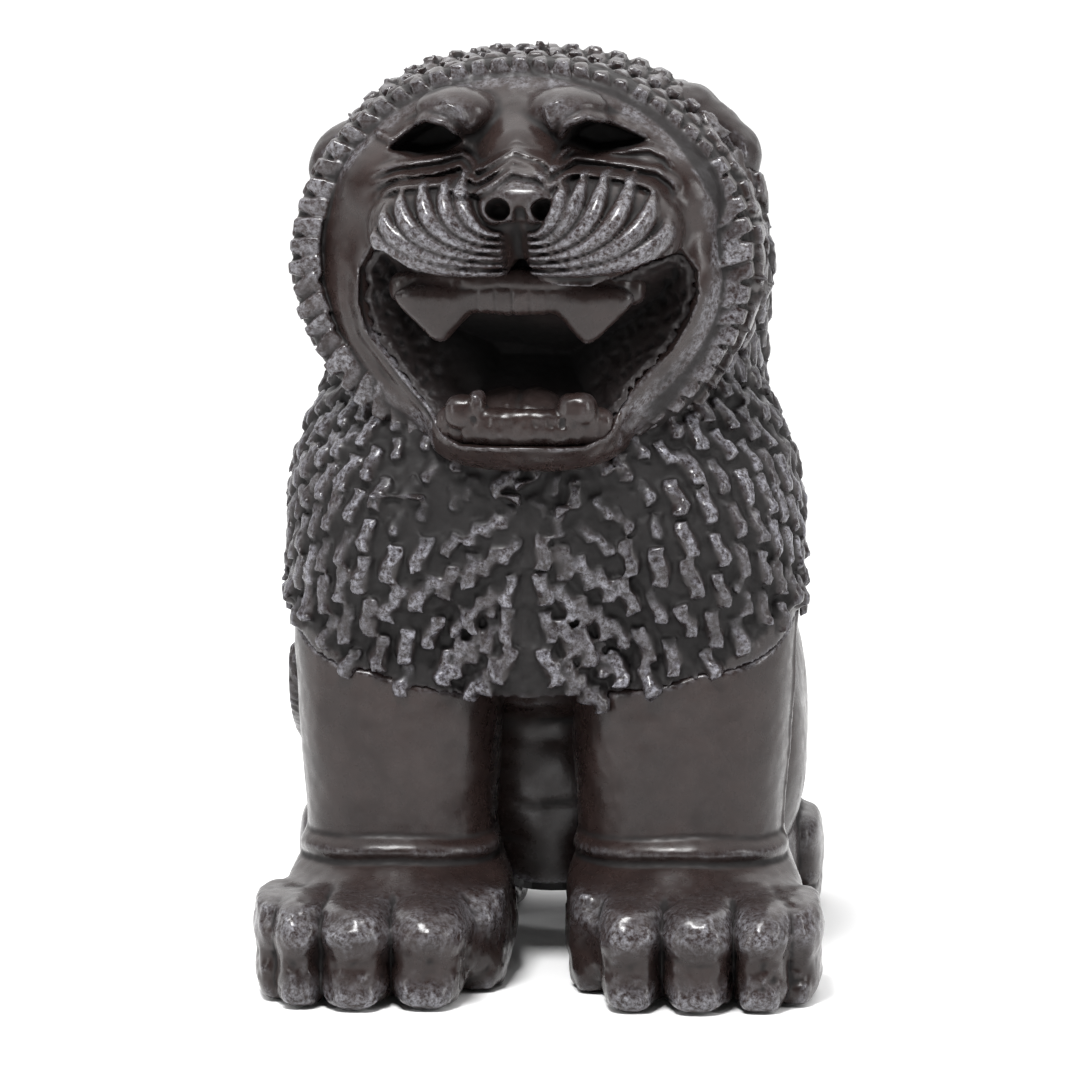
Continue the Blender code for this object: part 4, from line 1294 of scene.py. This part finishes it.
def comb_ruff(clay):
    """The ruff's front row and the three rows behind it; returns the painted shade between the teeth."""
    ground = clay.d.copy()
    set_front_row(clay, ground)
    for count, shift, back, half in RUFF_ROWS:
        turn, x, z, out = ruff_line(count, -0.6)
        moved = turn + shift * 2 * math.pi / count
        places = np.stack([np.interp(moved, turn, x, period=2 * math.pi), ruff_y(z) + back,
                           np.interp(moved, turn, z, period=2 * math.pi)], 1)
        wild = ramp(np.cos(turn - WILD_TURN), 0.4, 0.95)
        random = rng.random((count, 5)) - 0.5
        downs = np.stack([(0.2 + 1.8 * wild) * random[:, 0], np.ones(count),
                          -0.5 + (0.5 + 1.4 * wild) * random[:, 1]], 1)
        places = places + random[:, 2:5] * (0.5 + 0.8 * wild[:, None])
        sizes = np.stack([half * (1 + 0.45 * wild), 4.2 * (1 + 0.35 * wild)], 1)
        hooks = np.where(np.sin(turn) > 0, -0.9, 0.9) * (0.8 + random[:, 0])
        talls = 1.1 + 1.5 * wild + 0.4 * random[:, 1]
        greys = 0.25 + 0.5 * rng.random(count)
        stamp_locks(clay, places, downs, sizes, hooks, 0.12 + 0.2 * random[:, 2], talls, greys)

    def between(points):
        # painted shade on the low ground between the ruff's teeth
        height = clay.sample(ground, points)
        away = np.hypot((points[:, 0] - FACE_X) / RUFF_HALF_X, (points[:, 2] - FACE_Z) / RUFF_HALF_Z)
        side = np.maximum(ramp(np.abs(points[:, 0]), 22, 27), ramp(points[:, 2], 150, 160))
        return 0.9 * ramp(0.5 - height, 0, 0.5) * ramp(away, 0.885, 0.9) * side
    return between


def carve_sockets(clay):
    """Hollows out the eyes, and returns the distance to the hollows."""
    sockets = np.full(clay.d.shape, 9.0, np.float32)
    for eye in EYES:
        shape = Sketch(clay).inside(eye)
        hole = np.maximum(shape[:, None, :] + 0.10 * np.maximum(clay.y - 28, 0), clay.y - EYE_BACK_Y)
        clay.d = -smooth_min(-clay.d, hole, 0.6).astype(np.float32)
        sockets = np.minimum(sockets, hole).astype(np.float32)
    return sockets


def head_skin(x, y, z):
    """Faint unevenness, stronger towards the ruff."""
    rough = 0.10 * noise(x, y, z, 6.0, 2.0) + 0.05 * noise(x, y, z, 2.2)
    edge = ramp(np.hypot((x - FACE_X) / RUFF_HALF_X, (z - FACE_Z) / RUFF_HALF_Z), 0.86, 0.93)
    return rough + edge * 0.12 * noise(x, y, z, 1.6, 5.0)


def silver_face_wear_and_highlights(clay, sketch, outline, right, forward):
    """Silver on the ribs and wrinkles and the doubled rim, from rubbing and a painted glint; painted
    highlights on the brows and the bridge of the nose.
    """
    ribs = (np.abs(sketch.x) < 34) & (sketch.z > 150) & (sketch.z < 179)
    silver = ramp(sketch.height, 1.0, 1.55) * ribs * 0.75 + 0.8 * right * bump(outline - 0.9, 0.8)
    # painted highlights: spots on the brow bosses and the top of the nose
    for x, z, wide, tall in ((-15.8, 186.2, 4.2, 2.6), (7.4, 186.2, 4.2, 2.6), (NOSE[0], 171.6, 5.5, 1.6)):
        silver = silver + 0.45 * bump(sketch.x - x, wide) * bump(sketch.z - z, tall)
    silver = np.broadcast_to(silver[:, None, :] * forward, clay.d.shape)
    near = np.abs(clay.d) < 2
    clay.tone[near] = np.maximum(clay.tone[near], silver[near])


def make_head():
    clay = Clay((-58, -0.5, 105.5), (58, 74, 202), FINE * 1.04)
    shape_head(clay)
    clay.d = smooth_min(clay.d, ruff_ring(clay), 1.6).astype(np.float32)
    carve_nose(clay)
    sketch = draw_face(clay)
    outline = sketch.inside(MOUTH)
    right = draw_mouth_rim(sketch, outline)
    forward = ramp(46 - clay.y, 0, 8)
    near = np.abs(clay.d) < 4
    drawn = np.broadcast_to(sketch.height[:, None, :] * forward, clay.d.shape)
    clay.d[near] -= drawn[near]
    sockets = carve_sockets(clay)
    clay.d = np.maximum(clay.d, LINER_WALL + LINER_GAP - bowl(clay, outline)).astype(np.float32)
    clay.relief(head_skin, 2.5)
    between = comb_ruff(clay)
    silver_face_wear_and_highlights(clay, sketch, outline, right, forward)
    for z in (146.2, 149.4):
        clay.cut(egg((35.6, 24, z), (0.35, 4, 0.35)))

    c, s = math.cos(HEAD_YAW), math.sin(HEAD_YAW)
    world_y = YAW_AXIS_Y + s * clay.x + c * (clay.y - YAW_AXIS_Y)
    neck = (world_y - neck_y(clay.z + HEAD_LIFT)) / math.hypot(1, NECK_LEAN) + 0.2

    def shade_paint(points):
        # painted shade far inside the eye sockets and between the ruff's teeth
        inside = ramp(0.7 - clay.sample(sockets, points), 0, 0.5) * ramp(points[:, 1], 28.5, 31.5)
        return np.maximum(inside, between(points))
    make_piece("head", clay, BROWN, ["head"], neck, yaw=True, sheen_and_rub_share=0.4, shade_paint=shade_paint)


def make_liner():
    """The inside of the mouth: a thin bowl with hatched cheeks."""
    clay = Clay((-38, 15, 112), (38, 47, 160), FINE * 0.9)
    outline = Sketch(clay).inside(MOUTH)
    opening = bowl(clay, outline)
    clay.d = np.maximum(np.maximum(-opening, opening - LINER_WALL), mouth_front(clay.x) + 1.0 - clay.y)

    def hatch(x, y, z):
        first = np.sin(1.9 * (x + 0.6 * z) + 3.0 * noise(x, y, z, 5.0))
        second = np.sin(1.7 * (z - 0.5 * x) + 3.0 * noise(x, y, z, 4.0, 3.0))
        cheek = ramp(np.abs(x + 3), 12, 18)
        return cheek * (0.3 * np.maximum(first, second) - 0.1) + 0.16 * noise(x, y, z, 1.8)
    clay.relief(hatch, 1.6)
    # silver on the hatch of the lion's right cheek: rubbing and painted glints
    clay.paint(lambda x, y, z: (0.55 * ramp(np.abs(x + 3), 12, 18) * ramp(-x, 0, 10)
                                * ramp(noise(x, y, z, 1.6), 0.0, 0.5)))
    # painted shade, darker further back in the mouth
    make_piece("mouth_liner", clay, MOUTH_SHADE_CAST, ["mouth_liner"], yaw=True, sheen_and_rub_share=0.5,
               shade_paint=lambda points: ramp(points[:, 1], 27, 38))


TEETH_X = -2.2


def make_upper_teeth():
    """A row of incisors with a long canine at each end, cracked in places."""
    upper = Clay((-33, 10, 134), (31, 42, 158), FINE * 0.8)
    for x in np.linspace(-23.5, 23.5, 19):
        radii = (3.6, 3.4, 4.9 - 0.003 * x * x)
        upper.add(egg((x + TEETH_X, 20.0 + 0.0115 * x * x, 148.6), radii, 0, 2.6), 1.0)
    for side in (-1, 1):
        for share in np.linspace(0, 1, 12):
            half = 6.9 * (1 - share ** 1.2) + 2.1
            place = (side * (16.2 - 0.6 * share) + TEETH_X, 20.4 + 0.5 * share, 147.5 - 7.2 * share)
            upper.add(egg(place, (half, 3.4 - 1.1 * share, 2.6)), 1.2)

    def cracks(x, y, z):
        along = x - TEETH_X
        seams = bump((along / 3.7 + 0.5) % 1.0 - 0.5, 0.07) * ramp(11.5 - np.abs(along), 0, 1.5)
        ledge = bump(z - 149.2 - 0.5 * noise(x, y, z, 5.0), 0.4) * ramp(12 - np.abs(along), 0, 2)
        return -0.4 * seams * ramp(149.5 - z, 0, 1) - 0.3 * ledge
    upper.relief(cracks, 2.5)
    upper.relief(lambda x, y, z: 0.14 * noise(x, y, z, 2.6) + 0.07 * noise(x, y, z, 1.1, 4.0), 2.5)
    make_piece("upper_teeth", upper, BROWN, ["upper_teeth"], yaw=True, sheen_and_rub_share=0.6)


def make_lower_teeth():
    """A worn low row with two stubby canines."""
    lower = Clay((-23, 10, 112), (21, 42, 132), FINE * 0.8)
    for x in np.linspace(-15.5, 15.5, 13):
        lower.add(egg((x, 17.6 + 0.018 * x * x, 120.2), (3.2, 3.2, 3.9), 0, 2.8), 0.8)
    for x, wide, top in ((-13.0, 3.3, 123.2), (-9.6, 1.8, 124.2), (11.2, 4.2, 124.0)):
        lower.add(egg((x, 19.0, top), (wide, 3.6, 3.6), 0, 2.6), 0.8)
    for i in range(8):
        x = (i - 3.5) * 2.7
        wide, tall = 0.55 + 0.6 * rng.random(), 0.7 + 1.1 * rng.random()
        box = egg((x - 0.8, 13.7 + 0.018 * x * x, 121.2 + 0.8 * rng.random()), (wide, 0.9, tall), 0, 4)
        lower.cut(box, 0.3)
    lower.relief(lambda x, y, z: 0.22 * noise(x, y, z, 2.6) + 0.12 * noise(x, y, z, 1.1, 3.0), 2.5)
    make_piece("lower_teeth", lower, BROWN, ["lower_teeth"], yaw=True, sheen_and_rub_share=0.7)


def make_tongue():
    tongue = Clay((-17, 16, 116), (13, 44, 134), FINE * 0.9)
    tongue.add(egg((-2, 31, 123.5), (9.0, 11, 3.4), -10, 2.4))
    tongue.relief(lambda x, y, z: -0.8 * bump(x + 2, 1.4) + 0.15 * noise(x, y, z, 1.8), 2.5)
    tongue.relief(lambda x, y, z: (0.5 * bump(np.hypot(y - 22, z - 125) - 0.5, 1.2)
                                   * noise(x, y, z, 1.3, 2.0)), 2.5)
    make_piece("tongue", tongue, TONGUE, ["tongue"], yaw=True, sheen_and_rub_share=0.8)


# each ear's root, tip and radius
EARS = {
    -1: ((-34.5, 62, 176.5), (-43.0, 62, 171.5), 8.8),
    1: ((29.5, 62, 181.5), (37.6, 62, 174.0), 8.4),
}


def make_ear(side, name):
    """A small rounded ear, cupped towards the front."""
    low, high = sorted((side * 22.0, side * 54.0))
    clay = Clay((low, 42, 158), (high, 76, 196), FINE)
    root, tip, radius = EARS[side]
    clay.add(tube((root, tip), (radius, radius)))
    clay.cut(egg((tip[0], 53.5, tip[2] + 2.5), (4.2, 3.0, 4.6), 6), 2.5)
    clay.relief(lambda x, y, z: 0.3 * noise(x, y, z, 5.0) + 0.2 * noise(x, y, z, 1.8, 6.0))
    make_piece(name, clay, RUB_AND_SHEEN_CAST, [name], yaw=True)


# ------------------------------------------------------------------ floor, light and camera

def make_stage():
    mesh = bpy.data.meshes.new("floor")
    side = 6.0
    corners = [(-side, -side, 0), (side, -side, 0), (side, side, 0), (-side, side, 0)]
    mesh.from_pydata(corners, [], [(0, 1, 2, 3)])
    floor = bpy.data.objects.new("floor", mesh)
    bpy.context.scene.collection.objects.link(floor)
    n = Nodes("pale_floor")
    n.join(n.mix(n.noise(400.0), (0.86, 0.86, 0.86), (0.9, 0.9, 0.9)), n.shader.inputs["Base Color"])
    n.shader.inputs["Roughness"].default_value = 0.9
    n.shader.inputs["Specular IOR Level"].default_value = 0.1
    mesh.materials.append(n.material)


def add_light(name, place, target, size, power):
    data = bpy.data.lights.new(name, "AREA")
    data.shape = "RECTANGLE"
    data.size, data.size_y = size
    data.energy = power
    light = bpy.data.objects.new(name, data)
    light.location = place
    light.rotation_euler = (Vector(target) - Vector(place)).to_track_quat("-Z", "Y").to_euler()
    bpy.context.scene.collection.objects.link(light)


ROOM_DARK = 0.06                                # the studio is dim behind the camera
ROOM_BRIGHT = 2.3                               # and bright behind the lion
ROOM_HORIZON = 1.1
LIT_PLACE = (0.0, 0.0, 0.10)
LIGHTS = (                                      # name, place, size and power in watts
    ("top_box", (-0.12, -0.50, 0.82), (0.24, 0.18), 10.5),
    ("left_box", (-0.75, -0.50, 0.34), (0.12, 0.5), 1.8),
    ("right_box", (0.78, -0.34, 0.36), (0.10, 0.5), 2.7),
    ("low_box", (0.0, -1.1, 0.12), (0.9, 0.25), 0.25),
)


def light_room(world):
    """White all round the horizon, dim above the camera and bright above and behind the lion."""
    world.use_nodes = True
    n = Tree(world.node_tree)
    background = n.tree.nodes["Background"]
    background.inputs["Color"].default_value = (1, 1, 1, 1)
    ways = n.add("ShaderNodeTexCoord").outputs["Generated"]
    towards = n.add("ShaderNodeVectorMath", operation="DOT_PRODUCT")
    towards.inputs[1].default_value = (0.0, 0.42, 0.907)
    n.join(ways, towards.inputs[0])
    parts = n.add("ShaderNodeSeparateXYZ")
    n.join(ways, parts.inputs["Vector"])
    overhead = n.ranged(towards.outputs["Value"], 0.25, 0.95, ROOM_DARK, ROOM_BRIGHT)
    horizon = n.ranged(parts.outputs["Z"], 0.09, 0.16, ROOM_HORIZON, 0.0)
    n.join(n.maths("MAXIMUM", overhead, horizon), background.inputs["Strength"])


def make_studio():
    scene = bpy.context.scene
    scene.view_settings.view_transform = "Standard"
    scene.world = bpy.data.worlds.new("studio")
    light_room(scene.world)
    for name, place, size, power in LIGHTS:
        add_light(name, place, LIT_PLACE, size, power)


CAMERA_AZIMUTH = math.radians(3.0)
CAMERA_ELEVATION = math.radians(7.5)
CAMERA_DISTANCE = 1.3
VIEW_WIDTH = 223.02 * MM                        # what the frame spans, across the middle of the toe line
AIM = Vector((1.6 * MM, TOE_LINE * MM, 100.2 * MM))


def make_camera():
    data = bpy.data.cameras.new("camera")
    data.angle = 2 * math.atan(VIEW_WIDTH / 2 / CAMERA_DISTANCE)
    data.clip_start = 0.05
    camera = bpy.data.objects.new("camera", data)
    flat = math.cos(CAMERA_ELEVATION)
    back = Vector((math.sin(CAMERA_AZIMUTH) * flat, -math.cos(CAMERA_AZIMUTH) * flat,
                   math.sin(CAMERA_ELEVATION)))
    camera.location = AIM + CAMERA_DISTANCE * back
    camera.rotation_euler = (-back).to_track_quat("-Z", "Y").to_euler()
    bpy.context.scene.collection.objects.link(camera)
    bpy.context.scene.camera = camera


def dress_frame_nodes():
    """Materials for the small CAD pieces that stay as they are."""
    for name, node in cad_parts.items():
        for part, material in (("pad_", FELT), ("belly_plug", RUBBER), ("dowel", WOOD)):
            if part in name:
                node.data.materials.clear()
                node.data.materials.append(material)


make_camera()
make_mane()
make_back()
make_belly()
make_foreleg(-1, "foreleg_right")
make_foreleg(1, "foreleg_left")
make_hindleg(-1, "hindleg_right")
make_hindleg(1, "hindleg_left")
make_tail()
make_head()
make_liner()
make_upper_teeth()
make_lower_teeth()
make_tongue()
make_ear(-1, "ear_right")
make_ear(1, "ear_left")
dress_frame_nodes()
make_stage()
make_studio()

bpy.context.view_layer.update()
